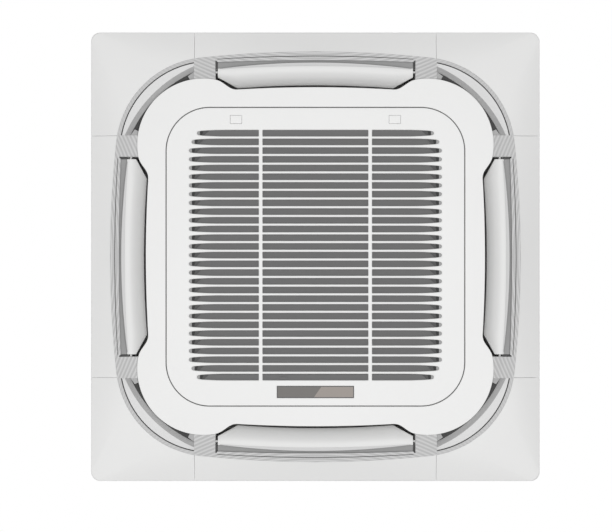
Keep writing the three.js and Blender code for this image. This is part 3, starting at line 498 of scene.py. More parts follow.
def woven_mesh():
    """The filter's net: threads both ways with dark holes between them."""
    material = plastic("filter_net", grey(118), 0.85)
    tree = material.node_tree
    threads = math_node(tree, "MAXIMUM", wave(tree, "X", THREAD_SPACING), wave(tree, "Y", THREAD_SPACING))
    add_bump(tree, threads, 0.4 * MM)
    return painted(material, blended(tree, threads, grey(92), grey(124)))


def smoked_window_painted_reflection():
    """Smoky clear plastic, with a painted reflection lightening its right half past a slanted line."""
    material = plastic("display_window", grey(120), 0.4, depth=0.001 * MM, Specular_IOR_Level=0.15)
    tree = material.node_tree
    place = object_axes(tree)
    slant = math_node(tree, "MULTIPLY_ADD", place["Y"], PAINTED_REFLECTION_SLANT, place["X"])
    # Painted reflection: past the slanted line the window takes a lighter tint.
    right = math_node(tree, "GREATER_THAN", slant, DISPLAY_Y * PAINTED_REFLECTION_SLANT + PAINTED_REFLECTION_SPLIT)
    left_shade = tuple(linear(level) for level in (116, 113, 110))
    painted_reflection_tint = tuple(linear(level) for level in (158, 150, 144))
    across = math_node(tree, "ABSOLUTE", place["X"])
    down = math_node(tree, "ABSOLUTE", math_node(tree, "SUBTRACT", place["Y"], DISPLAY_Y))
    at_ends = math_node(tree, "GREATER_THAN", across, DISPLAY_SIZE.x / 2 - DISPLAY_BORDER)
    at_sides = math_node(tree, "GREATER_THAN", down, DISPLAY_SIZE.y / 2 - DISPLAY_BORDER)
    border = math_node(tree, "MAXIMUM", at_ends, at_sides)
    return painted(material, blended(tree, border, blended(tree, right, left_shade, painted_reflection_tint), grey(98)))


def ribbed_plastic_with_painted_groove_shade():
    """Light grey plastic, with painted shade darkening the grooves between its ribs."""
    material = plastic("rib_grey", (0.62,) * 3, 0.5)
    tree = material.node_tree
    place = object_axes(tree)
    sizes = [math_node(tree, "ABSOLUTE", place[axis]) for axis in "XY"]
    farthest = math_node(tree, "MAXIMUM", *sizes)
    nearest = math_node(tree, "MINIMUM", *sizes)
    across = math_node(tree, "MULTIPLY", farthest, math_node(tree, "MULTIPLY", farthest, 1 / RIB_ACROSS))
    along = math_node(tree, "MULTIPLY", nearest, math_node(tree, "MULTIPLY", nearest, 1 / RIB_ALONG))
    phase = math_node(tree, "MULTIPLY", math_node(tree, "SUBTRACT", across, along), 2 * math.pi)
    crest = math_node(tree, "MULTIPLY", math_node(tree, "COSINE", phase), 0.5)
    on_corner = math_node(tree, "GREATER_THAN", nearest, BRIDGE_TO)
    depth = math_node(tree, "MULTIPLY_ADD", on_corner, RIB_CORNER_SHARE - 1, 1.0)
    # Painted shade: the grooves take the darker grey and the crests the lighter, less deep on the corners.
    groove = math_node(tree, "MULTIPLY_ADD", crest, depth, 0.5)
    return painted(material, blended(tree, groove, grey(180), grey(205)))


def vane_plastic_painted_shade():
    """White plastic with painted shade towards the inner edge, which bends up into the duct."""
    outer_shade = (0.76, 0.76, 0.755)
    painted_inner_shade = (0.6, 0.6, 0.595)
    material = plastic("vane_white_painted_shade", outer_shade)
    tree = material.node_tree
    # Painted shade: the colour darkens as the blade rises into the duct.
    height = math_node(tree, "SUBTRACT", object_axes(tree)["Z"], VANE_Z)
    rise = math_node(tree, "MULTIPLY", height, 1 / VANE_PAINTED_SHADE_RISE)
    inward = math_node(tree, "MINIMUM", math_node(tree, "MAXIMUM", rise, 0.0), 1.0)
    return painted(material, blended(tree, inward, outer_shade, painted_inner_shade))


def finned_coil():
    """Thin bright fins with painted shade in the dark gaps between them."""
    material = metal("finned_coil", (0.62, 0.64, 0.66), 0.4)
    tree = material.node_tree
    fins = math_node(tree, "MULTIPLY", wave(tree, "X", FIN_SPACING), wave(tree, "Y", FIN_SPACING))
    add_bump(tree, fins, 1 * MM)
    # The dark colour between the fins is painted shade.
    return painted(material, blended(tree, fins, (0.16, 0.17, 0.18), (0.66, 0.68, 0.7)))


def printed_board():
    """Green board with copper tracks under the lacquer."""
    material = plastic("printed_board", (0.02, 0.11, 0.045), 0.35)
    tree = material.node_tree
    tracks = tree.nodes.new("ShaderNodeTexBrick")
    tracks.inputs["Scale"].default_value = 90
    tracks.inputs["Mortar Size"].default_value = 0.06
    tracks.inputs["Color1"].default_value = (0.02, 0.11, 0.045, 1)
    tracks.inputs["Color2"].default_value = (0.025, 0.13, 0.05, 1)
    tracks.inputs["Mortar"].default_value = (0.12, 0.25, 0.08, 1)
    tree.links.new(object_place(tree), tracks.inputs["Vector"])
    return painted(material, tracks.outputs["Color"])


def beaded_foam(name, color, size):
    """Moulded foam, pressed together from small beads."""
    material = plastic(name, color, 0.85)
    tree = material.node_tree
    beads = tree.nodes.new("ShaderNodeTexVoronoi")
    beads.inputs["Scale"].default_value = 1 / size
    tree.links.new(object_place(tree), beads.inputs["Vector"])
    add_bump(tree, math_node(tree, "SUBTRACT", 1.0, beads.outputs["Distance"]), 0.5 * MM)
    return material


FINISH = {
    "panel_white": plastic("panel_white", (0.84, 0.84, 0.835)),
    "cover_white": plastic("cover_white", (0.85, 0.85, 0.845)),
    "rib_grey": ribbed_plastic_with_painted_groove_shade(),
    "recess_grey": plastic("recess_grey", grey(220), 0.5),
    # The steep wall's darker grey is painted shade on the same plastic as the ledge.
    "recess_wall_painted_shade": plastic("recess_wall_painted_shade", grey(188), 0.5),
    "recess_tab": plastic("recess_tab", grey(168), 0.5),
    # Dark sheets of painted shade in the grooves and on the recess floors.
    "recess_painted_shade": plastic("recess_painted_shade", grey(42), 0.6),
    # Painted shade over the white frame beside the outlets.
    "outlet_painted_shade": plastic("outlet_painted_shade", grey(163), 0.6),
    "vane_white_painted_shade": vane_plastic_painted_shade(),
    # The lip's darker grey is painted shade on the vane's white plastic.
    "lip_painted_shade": plastic("lip_painted_shade", grey(206), 0.5),
    # Painted shade and painted shadow behind the slot ends, fading off inward.
    "slot_end_painted_shade": plastic("slot_end_painted_shade", grey(150), 0.5),
    "slot_painted_shadow": plastic("slot_painted_shadow", grey(44), 0.7),
    "fading_painted_shade": plastic("fading_painted_shade", grey(80), 0.7),
    # Painted shade in the seam round the grille.
    "seam_painted_shade": plastic("seam_painted_shade", grey(84), 0.6),
    "display_grey": smoked_window_painted_reflection(),
    "filter_grey": plastic("filter_grey", grey(110), 0.75, 400.0, 0.05 * MM),
    "circuit_board": printed_board(),
    "sheet_steel": metal("galvanised_sheet", (0.48, 0.495, 0.505), 0.5, metallic=0.6),
    "plated_steel": metal("zinc_plate", (0.42, 0.42, 0.4), 0.38, 0.05, 300.0, metallic=0.7),
    "white_foam": beaded_foam("white_foam", (0.7, 0.7, 0.68), 4 * MM),
    "seal_foam": beaded_foam("seal_foam", (0.045, 0.045, 0.045), 1.5 * MM),
    "fin_aluminium": finned_coil(),
    "fan_grey": plastic("fan_grey", (0.16, 0.17, 0.18), 0.5, 500.0, 0.02 * MM),
    "motor_grey": plastic("motor_grey", (0.34, 0.35, 0.36), 0.4, 300.0, 0.03 * MM),
    "hose_white": plastic("hose_white", (0.58, 0.58, 0.54), 0.6, 250.0, 0.05 * MM),
    "copper": metal("drawn_copper", (0.72, 0.32, 0.18), 0.3, 0.15, 40.0),
    "brass": metal("turned_brass", (0.62, 0.42, 0.16), 0.25, 0.06, 200.0),
}
FILTER_NET = woven_mesh()


def dress_frame():
    """Gives each node of the frame the finish of its slot."""
    for part in frame["record"]["subparts"]:
        mesh = frame["nodes"][part["node"]].data
        mesh.materials.clear()
        mesh.materials.append(FILTER_NET if part["node"] == "filter_mesh" else FINISH[part["material_slot"]])


dress_frame()

# ---- outlines ---------------------------------------------------------------------------------


def turned(point, side):
    """A flat point of the +X side, turned to another side of the panel."""
    return Matrix.Rotation(side * QUARTER, 2) @ Vector(point)


def arc(centre, radius, start, end, steps):
    angles = [start + (end - start) * i / steps for i in range(steps + 1)]
    return [Vector((centre[0] + radius * math.cos(a), centre[1] + radius * math.sin(a))) for a in angles]


class BowedSquare:
    """A square with bowed sides that run smoothly into its corner arcs."""

    def __init__(self, mid, centre, radius):
        self.centre = centre
        self.radius = radius
        self.mid = mid
        self.bow = self.solve_bow()
        self.blend = centre * self.bow / (self.bow - radius)

    def solve_bow(self):
        """The radius of the sides that touches both the mid-side point and the corner arcs."""
        across = self.mid - self.centre
        return (across**2 + self.centre**2 - self.radius**2) / (2 * (across - self.radius))

    def across(self, y):
        """How far out the outline is, y along the +X side."""
        y = abs(y)
        if y < self.blend:
            return self.mid - self.bow + math.sqrt(self.bow**2 - y**2)
        return self.centre + math.sqrt(max(self.radius**2 - (y - self.centre) ** 2, 0.0))

    def corner(self, angle):
        return Vector((self.centre + self.radius * math.cos(angle),
                       self.centre + self.radius * math.sin(angle)))


RING_OUTER = BowedSquare(RING_MID, RING_CORNER_AT, RING_CORNER)
RING_INNER = BowedSquare(RING_INNER_MID, RING_CORNER_AT, RING_CORNER - RING_WIDTH)


def rounded_rectangle(centre, half, radius, steps=4):
    points = []
    for k in SIDES:
        sign = Vector((1 if k in (0, 3) else -1, 1 if k < 2 else -1))
        corner = Vector(centre) + Vector((sign.x * (half[0] - radius), sign.y * (half[1] - radius)))
        points += arc(corner, radius, k * QUARTER, (k + 1) * QUARTER, steps)
    return points


def hub_outline():
    """Half a side is a slow bow, an S-shaped step outward and half a corner lobe."""
    slope = 2 * (HUB_MID - HUB_SIDE_END.x) / HUB_SIDE_END.y
    half = [Vector((HUB_MID - (HUB_MID - HUB_SIDE_END.x) * (i / HUB_STEPS) ** 2,
                    HUB_SIDE_END.y * i / HUB_STEPS)) for i in range(HUB_STEPS)]
    lobe = arc((LOBE_AT, LOBE_AT), LOBE, LOBE_START, QUARTER / 2, 20)
    start, end = HUB_SIDE_END, lobe[0]
    leave = start + HUB_BLEND * Vector((-slope, 1))
    meet = end + HUB_BLEND * Vector((math.sin(LOBE_START), -math.cos(LOBE_START)))
    for i in range(HUB_STEPS):
        t = i / HUB_STEPS
        s = 1 - t
        half.append(start * s**3 + leave * 3 * t * s * s + meet * 3 * t * t * s + end * t**3)
    half += lobe
    quarter = half + [Vector((p.y, p.x)) for p in reversed(half[1:-1])]
    return [turned(p, side) for side in SIDES for p in quarter]


class Reach:
    """How far an outline reaches from the centre at an angle."""

    def __init__(self, outline):
        points = sorted(outline, key=lambda p: math.atan2(p.y, p.x))
        self.points = points + points[:1]
        self.angles = [math.atan2(p.y, p.x) for p in points]
        self.angles.append(self.angles[0] + 2 * math.pi)

    def at(self, angle):
        angle = (angle - self.angles[0]) % (2 * math.pi) + self.angles[0]
        k = max(i for i in range(len(self.points) - 1) if self.angles[i] <= angle)
        start, end = self.points[k], self.points[k + 1]
        along = end - start
        ray = Vector((math.cos(angle), math.sin(angle)))
        distance = (start.x * along.y - start.y * along.x) / (ray.x * along.y - ray.y * along.x)
        return ray * distance


# ---- meshes -----------------------------------------------------------------------------------


def warped(columns, rows, place):
    """A grid whose point at column i and row j goes to place(i, j)."""
    bm = bmesh.new()
    bmesh.ops.create_grid(bm, x_segments=columns, y_segments=rows, size=1)
    for vert in bm.verts:
        vert.co = place(round((vert.co.x + 1) / 2 * columns), round((vert.co.y + 1) / 2 * rows))
    return bm


def healed(bm, gap=0.002 * MM):
    """Merges doubled points and drops what they flatten."""
    bmesh.ops.remove_doubles(bm, verts=bm.verts, dist=gap)
    bmesh.ops.dissolve_degenerate(bm, dist=gap, edges=bm.edges)
    return bm


def faced_outward(bm):
    bmesh.ops.recalc_face_normals(bm, faces=bm.faces)
    return bm


def piece(name, bm, slot, body="housing", replaces=(), smooth=32, finish=None):
    """A finished piece, smooth up to an angle in degrees, that rides on a body."""
    for face in bm.faces:
        face.smooth = True
    mesh = bpy.data.meshes.new(name)
    faced_outward(bm).to_mesh(mesh)
    bm.free()
    mesh.set_sharp_from_angle(angle=math.radians(smooth))
    mesh.materials.append(FINISH[finish or slot])
    obj = new_object(name, mesh)
    weighted = obj.modifiers.new("weighted_normals", "WEIGHTED_NORMAL")
    weighted.keep_sharp = True
    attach(obj, body)
    if replaces:
        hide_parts(*replaces)


def merged(parts):
    """Several shapes in one mesh."""
    parts = list(parts)
    whole = parts[0]
    for part in parts[1:]:
        mesh = bpy.data.meshes.new("part")
        part.to_mesh(mesh)
        part.free()
        whole.from_mesh(mesh)
        bpy.data.meshes.remove(mesh)
    return whole


def on_side(bm, side):
    bmesh.ops.rotate(bm, verts=bm.verts, cent=(0, 0, 0), matrix=Matrix.Rotation(side * QUARTER, 3, "Z"))
    return bm


def outlined(outlines, z):
    """A flat face inside the first outline and outside the others."""
    bm = bmesh.new()
    edges = []
    for outline in outlines:
        verts = [bm.verts.new((p[0], p[1], z)) for p in outline]
        edges += [bm.edges.new(pair) for pair in zip(verts, verts[1:] + verts[:1])]
    bmesh.ops.triangle_fill(bm, use_beauty=True, use_dissolve=False, edges=edges)
    return bm


def slab(outlines, low, high):
    """A plate between two heights, with holes."""
    bm = outlined(outlines, low)
    grown = bmesh.ops.extrude_face_region(bm, geom=bm.faces[:])
    top = [v for v in grown["geom"] if isinstance(v, bmesh.types.BMVert)]
    bmesh.ops.translate(bm, verts=top, vec=(0, 0, high - low))
    return faced_outward(bm)


def sleeve(loops):
    """A wall through loops of points, each loop closed on itself."""
    count = len(loops[0])
    bm = warped(count, len(loops) - 1, lambda i, j: loops[j][i % count])
    return healed(bm)


def eased_block(x, y, z, ease, segments=2):
    """A block between limits, with rounded edges."""
    bm = bmesh.new()
    bmesh.ops.create_cube(bm, size=1)
    bmesh.ops.scale(bm, vec=(x[1] - x[0], y[1] - y[0], z[1] - z[0]), verts=bm.verts)
    bmesh.ops.translate(bm, vec=(sum(x) / 2, sum(y) / 2, sum(z) / 2), verts=bm.verts)
    return eased(bm, bm.edges[:], ease, segments)


def eased(bm, edges, width, segments=2):
    bmesh.ops.bevel(bm, geom=edges, offset=width, offset_type="OFFSET", segments=segments, profile=0.5,
                    affect="EDGES", material=-1, clamp_overlap=True, loop_slide=True)
    return bm


def rod(start, end, radius, facets, ease):
    """A round bar between two points, with eased ends."""
    start, end = Vector(start), Vector(end)
    bm = bmesh.new()
    bmesh.ops.create_cone(bm, cap_ends=True, segments=facets, radius1=radius, radius2=radius,
                          depth=(end - start).length)
    rims = [e for e in bm.edges if abs(e.verts[0].co.z - e.verts[1].co.z) < 1e-6]
    eased(bm, rims, ease)
    turn = Vector((0, 0, 1)).rotation_difference(end - start).to_matrix()
    bmesh.ops.rotate(bm, verts=bm.verts, cent=(0, 0, 0), matrix=turn)
    bmesh.ops.translate(bm, verts=bm.verts, vec=(start + end) / 2)
    return bm


def frame_copy(node):
    """A copy of a frame node's mesh, merged, with its flat faces in one piece each."""
    bm = bmesh.new()
    bm.from_mesh(frame["nodes"][node].data)
    healed(bm, 0.005 * MM)
    bmesh.ops.dissolve_limit(bm, angle_limit=math.radians(0.4), verts=bm.verts, edges=bm.edges)
    return bm


def sharp_edges(bm, angle=40):
    """The outer corners of a shape that are sharper than an angle in degrees, but not the shortest."""
    limit = math.radians(angle)
    return [e for e in bm.edges if len(e.link_faces) == 2 and e.is_convex
            and e.calc_face_angle(0) > limit and e.calc_length() > 2 * MM]


def refined(node, slot, width, body="housing", segments=2):
    """The frame's shape with its outer corners eased."""
    bm = frame_copy(node)
    eased(bm, sharp_edges(bm), width, segments)
    piece(node + "_finished", bm, slot, body, [node])


def halved(bm, point, normal):
    """Cuts a mesh by a plane, keeps the side that the normal points to and closes it."""
    geometry = bm.verts[:] + bm.edges[:] + bm.faces[:]
    cut = bmesh.ops.bisect_plane(bm, geom=geometry, dist=1e-7, plane_co=point, plane_no=normal,
                                 clear_inner=True)
    edges = [e for e in cut["geom_cut"] if isinstance(e, bmesh.types.BMEdge)]
    bmesh.ops.holes_fill(bm, edges=edges, sides=0)


# ---- panel rim and corner covers --------------------------------------------------------------


def rim_lines():
    """Pairs of points round the panel: one on its outer edge and one on the trim ring."""
    straight = PANEL_HALF - PANEL_CORNER
    facet_y = RING_CORNER_AT + RING_CORNER * math.sin(FACET_ANGLE)
    pairs = []
    for i in range(RIM_COLUMNS + 1):
        share = 2 * i / RIM_COLUMNS - 1
        pairs.append((Vector((PANEL_HALF, share * straight)),
                      Vector((RING_OUTER.across(share * facet_y), share * facet_y))))
    for i in range(1, RIM_CORNER_COLUMNS):
        outer = QUARTER * i / RIM_CORNER_COLUMNS
        inner = FACET_ANGLE + (QUARTER - 2 * FACET_ANGLE) * i / RIM_CORNER_COLUMNS
        corner = Vector((straight, straight)) + PANEL_CORNER * Vector((math.cos(outer), math.sin(outer)))
        pairs.append((corner, RING_OUTER.corner(inner)))
    return [[turned(p, side) for p in pair] for side in SIDES for pair in pairs]


def rim_section(outer, inner):
    """Once round the section of the rim, from the ceiling down its edge and in to the trim ring."""
    inward = (inner - outer).normalized()
    inner = inner - inward * SEAT_GAP
    start = outer + inward * RIM_EDGE_ROUND
    points = [(outer, 0.0)]
    for i in range(RIM_ROUND_STEPS + 1):
        angle = QUARTER * i / RIM_ROUND_STEPS
        points.append((outer + inward * RIM_EDGE_ROUND * (1 - math.cos(angle)),
                       RIM_EDGE_Z + RIM_EDGE_ROUND * (1 - math.sin(angle))))
    for i in range(1, RIM_FACE_STEPS + 1):
        height = RIM_EDGE_Z + (RIM_Z - RIM_EDGE_Z) * i / RIM_FACE_STEPS
        points.append((start.lerp(inner, i / RIM_FACE_STEPS), height))
    points += [(inner, RING_BACK_Z), (inner, 0.0)]
    return [Vector((p.x, p.y, z)) for p, z in points]


def rim_ring():
    sections = [rim_section(*pair) for pair in rim_lines()]
    count, points = len(sections), len(sections[0])
    return healed(warped(count, points, lambda i, j: sections[i % count][j % points]))


def corner_cover(side):
    """The corner of the rim past both seams, with eased edges along them."""
    bm = rim_ring()
    seam = SEAM_AT + SEAM_GAP / 2
    halved(bm, (0, seam, 0), (0, 1, 0))
    halved(bm, (seam, 0, 0), (1, 0, 0))
    ends = [e for e in bm.edges if len(e.link_faces) == 2 and e.calc_face_angle(0) > COVER_END_ANGLE
            and all(v.co.z < RIM_EDGE_Z + RIM_EDGE_ROUND for v in e.verts)
            and any(all(abs(v.co[k] - seam) < 1e-5 for v in e.verts) for k in (0, 1))]
    eased(bm, ends, COVER_EASE)
    return on_side(bm, side)


def side_rim(side):
    """The part of the rim that the frame shows between two corner covers."""
    bm = rim_ring()
    seam = SEAM_AT - SEAM_GAP / 2
    halved(bm, (0, seam, 0), (0, -1, 0))
    halved(bm, (0, -seam, 0), (0, 1, 0))
    halved(bm, (RING_CORNER_AT, 0, 0), (1, 0, 0))
    return on_side(bm, side)


def panel_frame():
    """The moulding behind everything, with its four side rims drawn over it."""
    bm = frame_copy("panel_frame")
    for vert in bm.verts:
        x, y = sorted((abs(vert.co.x), abs(vert.co.y)), reverse=True)
        if y > SEAM_AT + 1 * MM:
            continue
        if vert.co.z < RIM_EDGE_Z + 0.1 * MM and x > RING_OUTER.across(y) - 0.5 * MM:
            vert.co.z += FRAME_LIFT
        if x > PANEL_HALF - 0.1 * MM:
            vert.co.xy *= 1 - FRAME_INSET / PANEL_HALF
    rims = merged(side_rim(side) for side in SIDES)
    for vert in rims.verts:
        vert.co.z = min(vert.co.z, -FRAME_INSET)
    return merged([bm, rims])


piece("panel_moulding", panel_frame(), "cover_white", replaces=["panel_frame"])
for side in SIDES:
    node = f"corner_cover_{side + 1}"
    piece(f"corner_lid_{side + 1}", corner_cover(side), "cover_white", f"cover_{side + 1}", [node])

# ---- trim ring --------------------------------------------------------------------------------


def hub_across(y):
    """The edge of a hub plate lobe, y along the +X side."""
    return LOBE_AT + math.sqrt(LOBE**2 - (abs(y) - LOBE_AT) ** 2)


def ribbed(point):
    """The ribs lie along the ring in the middle of a side and slant across it towards the corners."""
    nearest, farthest = sorted((abs(point.x), abs(point.y)))
    phase = 2 * math.pi * (farthest**2 / RIB_ACROSS - nearest**2 / RIB_ALONG)
    height = RIB_HEIGHT * (RIB_CORNER_SHARE if nearest > BRIDGE_TO else 1)
    return Vector((point.x, point.y, RIM_Z + height * 0.5 * (1 - math.cos(phase))))


def band_width(y):
    """How much further in the ring reaches beside an outlet, y along the +X side."""
    return BAND_WIDTH if abs(y) < BAND_END else 0.0


def ring_point(column, row):
    """A point of the ring's ribbed front, or of the groove that runs along it beside an outlet."""
    point = ribbed(column[0].lerp(column[1], RING_SHARES[row]))
    beside_outlet = min(abs(point.x), abs(point.y)) < BAND_END
    if row in GROOVE_ROWS and beside_outlet:
        point.z = RIM_Z + GROOVE_DEPTH
    return point


def ring_columns():
    """Points across the ring from one bridge of the +X side to the first one of the next side."""
    runs = [(-BRIDGE_TO, -BRIDGE_FROM, BRIDGE_COLUMNS), (-BRIDGE_FROM, BRIDGE_FROM, MID_COLUMNS),
            (BRIDGE_FROM, BRIDGE_TO, BRIDGE_COLUMNS)]
    columns = []
    for low, high, count in runs:
        for i in range(count):
            y = low + (high - low) * i / count
            inner = RING_INNER.across(y) - band_width(y)
            columns.append([Vector((RING_OUTER.across(y), y)), Vector((inner, y))])
    starts = [math.asin((BRIDGE_TO - RING_CORNER_AT) / square.radius) for square in (RING_OUTER, RING_INNER)]
    for i in range(CORNER_COLUMNS):
        share = i / CORNER_COLUMNS
        columns.append([square.corner(start + (QUARTER - 2 * start) * share)
                        for square, start in zip((RING_OUTER, RING_INNER), starts)])
    return columns


def bridge(side, way):
    """The front of one bridge, from the ring in to the hub plate."""

    def place(i, j):
        y = way * (BRIDGE_FROM + (BRIDGE_TO - BRIDGE_FROM) * i / BRIDGE_COLUMNS)
        start, end = RING_INNER.across(y), hub_across(y) + SEAT_GAP
        return ribbed(turned((start + (end - start) * j / BRIDGE_ROWS, y), side))

    return warped(BRIDGE_COLUMNS, BRIDGE_ROWS, place)


def trim_ring():
    """The ribbed front of the ring and its bridges, run up to the back and closed there."""
    columns = [[turned(p, side) for p in column] for side in SIDES for column in ring_columns()]
    count = len(columns)
    front = [warped(count, len(RING_SHARES) - 1, lambda i, j: ring_point(columns[i % count], j))]
    front += [bridge(side, way) for side in SIDES for way in (-1, 1)]
    bm = healed(merged(front), 0.02 * MM)
    rim = [e for e in bm.edges if e.is_boundary]
    grown = bmesh.ops.extrude_edge_only(bm, edges=rim)["geom"]
    for vert in (v for v in grown if isinstance(v, bmesh.types.BMVert)):
        vert.co.z = RING_BACK_Z
    back = [e for e in grown if isinstance(e, bmesh.types.BMEdge)]
    bmesh.ops.triangle_fill(bm, use_beauty=True, use_dissolve=False, edges=back)
    return bm


def groove_floor(side):
    """A dark sheet of painted shade at the bottom of the fine groove along the ring beside an outlet."""

    def place(i, j):
        y = GROOVE_END * (i / GROOVE_STEPS - 1)
        outer, inner = RING_OUTER.across(y), RING_INNER.across(y) - BAND_WIDTH
        share = RING_SHARES[GROOVE_ROWS[j]]
        return Vector((*turned((outer + (inner - outer) * share, y), side), RIM_Z + GROOVE_DEPTH - 0.1 * MM))

    return warped(2 * GROOVE_STEPS, 1, place)


piece("ribbed_ring", trim_ring(), "rib_grey", replaces=["trim_ring"], smooth=50)
# Painted shade: a dark sheet at the groove's bottom.
piece("ring_grooves", merged(groove_floor(side) for side in SIDES), "rib_grey", finish="recess_painted_shade")

# ---- corner recesses --------------------------------------------------------------------------


def corner_angle(radius, limit):
    """The angle at which an arc about the recess centre meets the line y = limit."""
    return math.asin((limit - RECESS_AT) / radius)


def recess_points(i):
    """Five points at one step round the corner: the ledge's outer and inner edge, the foot of the
    steep wall, a point below the hub plate, and the ring's inner edge."""
    share = i / RECESS_STEPS
    start = math.asin((BRIDGE_TO - RING_CORNER_AT) / RING_INNER.radius)
    ring = RING_INNER.corner(start + (QUARTER - 2 * start) * share)
    points = [ring]
    for radius in (RECESS_LEDGE, RECESS_FOOT):
        low = corner_angle(radius, BRIDGE_TO)
        angle = low + (QUARTER - 2 * low) * share
        points.append(Vector((RECESS_AT + radius * math.cos(angle), RECESS_AT + radius * math.sin(angle))))
    points[0] = ring - (ring - points[1]).normalized() * RECESS_GROOVE
    lobe_low = math.asin((BRIDGE_TO - LOBE_AT) / LOBE)
    angle = lobe_low + (QUARTER - 2 * lobe_low) * share
    hub = Vector((LOBE_AT + LOBE * math.cos(angle), LOBE_AT + LOBE * math.sin(angle)))
    return points + [hub.lerp(Vector((0, 0)), HUB_TUCK), ring]


def recess_band(side, k):
    """One of the two bands inside the ring: 0 is the pale ledge and 1 the steep wall in from it."""
    heights = [RECESS_RIM_Z, RECESS_LEDGE_Z, RECESS_FOOT_Z]

    def place(i, j):
        points = recess_points(i)
        share = j / RECESS_BAND_STEPS
        flat = turned(points[k].lerp(points[k + 1], share), side)
        return Vector((flat.x, flat.y, heights[k] + (heights[k + 1] - heights[k]) * share))

    return thickened(warped(RECESS_STEPS, RECESS_BAND_STEPS, place))


def corner_groove(side):
    """A dark sheet of painted shade in the fine groove between the trim ring and the pale ledge."""

    def place(i, j):
        points = recess_points(i)
        flat = turned(points[4].lerp(points[0], RECESS_GROOVE_SHARE * j), side)
        return Vector((flat.x, flat.y, RIM_Z + GROOVE_DEPTH))

    return thickened(warped(RECESS_STEPS, 1, place))


def recess_tab(side, mirrored):
    """The small plate in the recess beside a bridge."""
    foot = recess_points(0)[2]
    hub = Vector((hub_across(BRIDGE_TO), BRIDGE_TO))
    outline = [foot, hub - Vector((RECESS_TAB_TUCK, 0)), hub + Vector((-RECESS_TAB_TUCK, RECESS_TAB_AT_HUB)),
               foot.lerp(hub, RECESS_TAB_PEAK) + Vector((0, RECESS_TAB))]
    bm = slab([outline], *RECESS_TAB_Z)
    eased(bm, sharp_edges(bm, 60), SMALL_EASE)
    if mirrored:
        swap_axes = Matrix(((0, 1, 0), (1, 0, 0), (0, 0, 1)))
        bmesh.ops.transform(bm, matrix=swap_axes.to_4x4(), verts=bm.verts)
        faced_outward(bm)
    return on_side(bm, side)


def recess_floor(side):
    """A dark sheet of painted shade over the floor of a recess, from the trim ring in under the hub plate."""

    def place(i, j):
        points = recess_points(i)
        flat = turned(points[4].lerp(points[3], j / RECESS_FLOOR_STEPS), side)
        return Vector((flat.x, flat.y, RECESS_FLOOR_Z))

    return thickened(warped(RECESS_STEPS, RECESS_FLOOR_STEPS, place))


def outlet_ledge(side, start, end):
    """A sheet of painted shade over the frame's ledge between the trim ring and an outlet duct, deep in
    shade.
    """

    def place(i, j):
        y = start + (end - start) * i / LEDGE_STEPS
        x = DUCT_OUTER + (RING_INNER.across(y) - DUCT_OUTER) * j
        return Vector((*turned((x, y), side), RECESS_FLOOR_Z))

    return thickened(warped(LEDGE_STEPS, 1, place))


def thickened(bm):
    """A sheet with its edges run up and closed at the back."""
    edges = [e for e in bm.edges if e.is_boundary]
    grown = bmesh.ops.extrude_edge_only(bm, edges=edges)["geom"]
    for vert in (v for v in grown if isinstance(v, bmesh.types.BMVert)):
        vert.co.z = RECESS_FLOOR_Z + 0.5 * MM
    back = [e for e in grown if isinstance(e, bmesh.types.BMEdge)]
    bmesh.ops.triangle_fill(bm, use_beauty=True, use_dissolve=False, edges=back)
    return bm


def recess_piece(name, shapes, finish, smooth=32):
    piece(name, merged(shapes), "rib_grey", finish=finish, smooth=smooth)


recess_piece("recess_ledges", (recess_band(side, 0) for side in SIDES), "recess_grey", 20)
# The steep wall takes a darker grey than the ledge as painted shade.
recess_piece("recess_walls", (recess_band(side, 1) for side in SIDES), "recess_wall_painted_shade", 20)
# Painted shade: dark sheets in the corner grooves.
recess_piece("corner_grooves", (corner_groove(side) for side in SIDES), "recess_painted_shade")
recess_piece("recess_tabs", (recess_tab(side, mirrored) for side in SIDES for mirrored in (False, True)),
             "recess_tab")
# Painted shade: grey sheets over the ledges beside the outlets.
recess_piece("outlet_ledges", (outlet_ledge(side, -LEDGE_END, LEDGE_END) for side in SIDES), "outlet_painted_shade")
# The ends of each ledge take a deeper painted shade.
recess_piece("outlet_corners", (outlet_ledge(side, way * LEDGE_END, way * BRIDGE_FROM)
                                for side in SIDES for way in (-1, 1)), "fading_painted_shade")
# Painted shade: dark sheets over the white frame in each recess.
recess_piece("recess_floors", (recess_floor(side) for side in SIDES), "recess_painted_shade")

# ---- hub plate --------------------------------------------------------------------------------


def hub_plate():
    """A face round the grille with a skirt up from its outer and its inner edge."""
    outer = Reach(hub_outline())
    half = GRILLE_HALF + GRILLE_SEAM
    inner = Reach(rounded_rectangle((0, 0), (half, half), GRILLE_CORNER + GRILLE_SEAM, 24))
    back = FACE_Z + HUB_FACE

    def section(i):
        angle = 2 * math.pi * i / HUB_STATIONS
        out, opening = outer.at(angle), inner.at(angle)
        ray = out.normalized()
        notched = opening.y > half - 1 * MM and abs(abs(opening.x) - HOOK_X) < NOTCH_HALF
        inner_top = NOTCH_FLOOR_Z if notched else SKIRT_TOP_Z
        inner_wall = opening + ray * HUB_WALL
        outer_wall = out - ray * HUB_WALL
        points = [(opening + ray * HUB_EDGE * 0.5, FACE_Z), (out - ray * HUB_EDGE, FACE_Z)]
        points += [(out - ray * HUB_EDGE * 0.3, FACE_Z + HUB_EDGE * 0.3), (out, FACE_Z + HUB_EDGE),
                   (out, SKIRT_TOP_Z), (outer_wall, SKIRT_TOP_Z), (outer_wall, back), (inner_wall, back),
                   (inner_wall, inner_top), (opening, inner_top), (opening, FACE_Z + HUB_EDGE * 0.5)]
        return [Vector((p.x, p.y, z)) for p, z in points]

    sections = [section(i) for i in range(HUB_STATIONS)]
    points = len(sections[0])
    return healed(warped(HUB_STATIONS, points, lambda i, j: sections[i % HUB_STATIONS][j % points]))


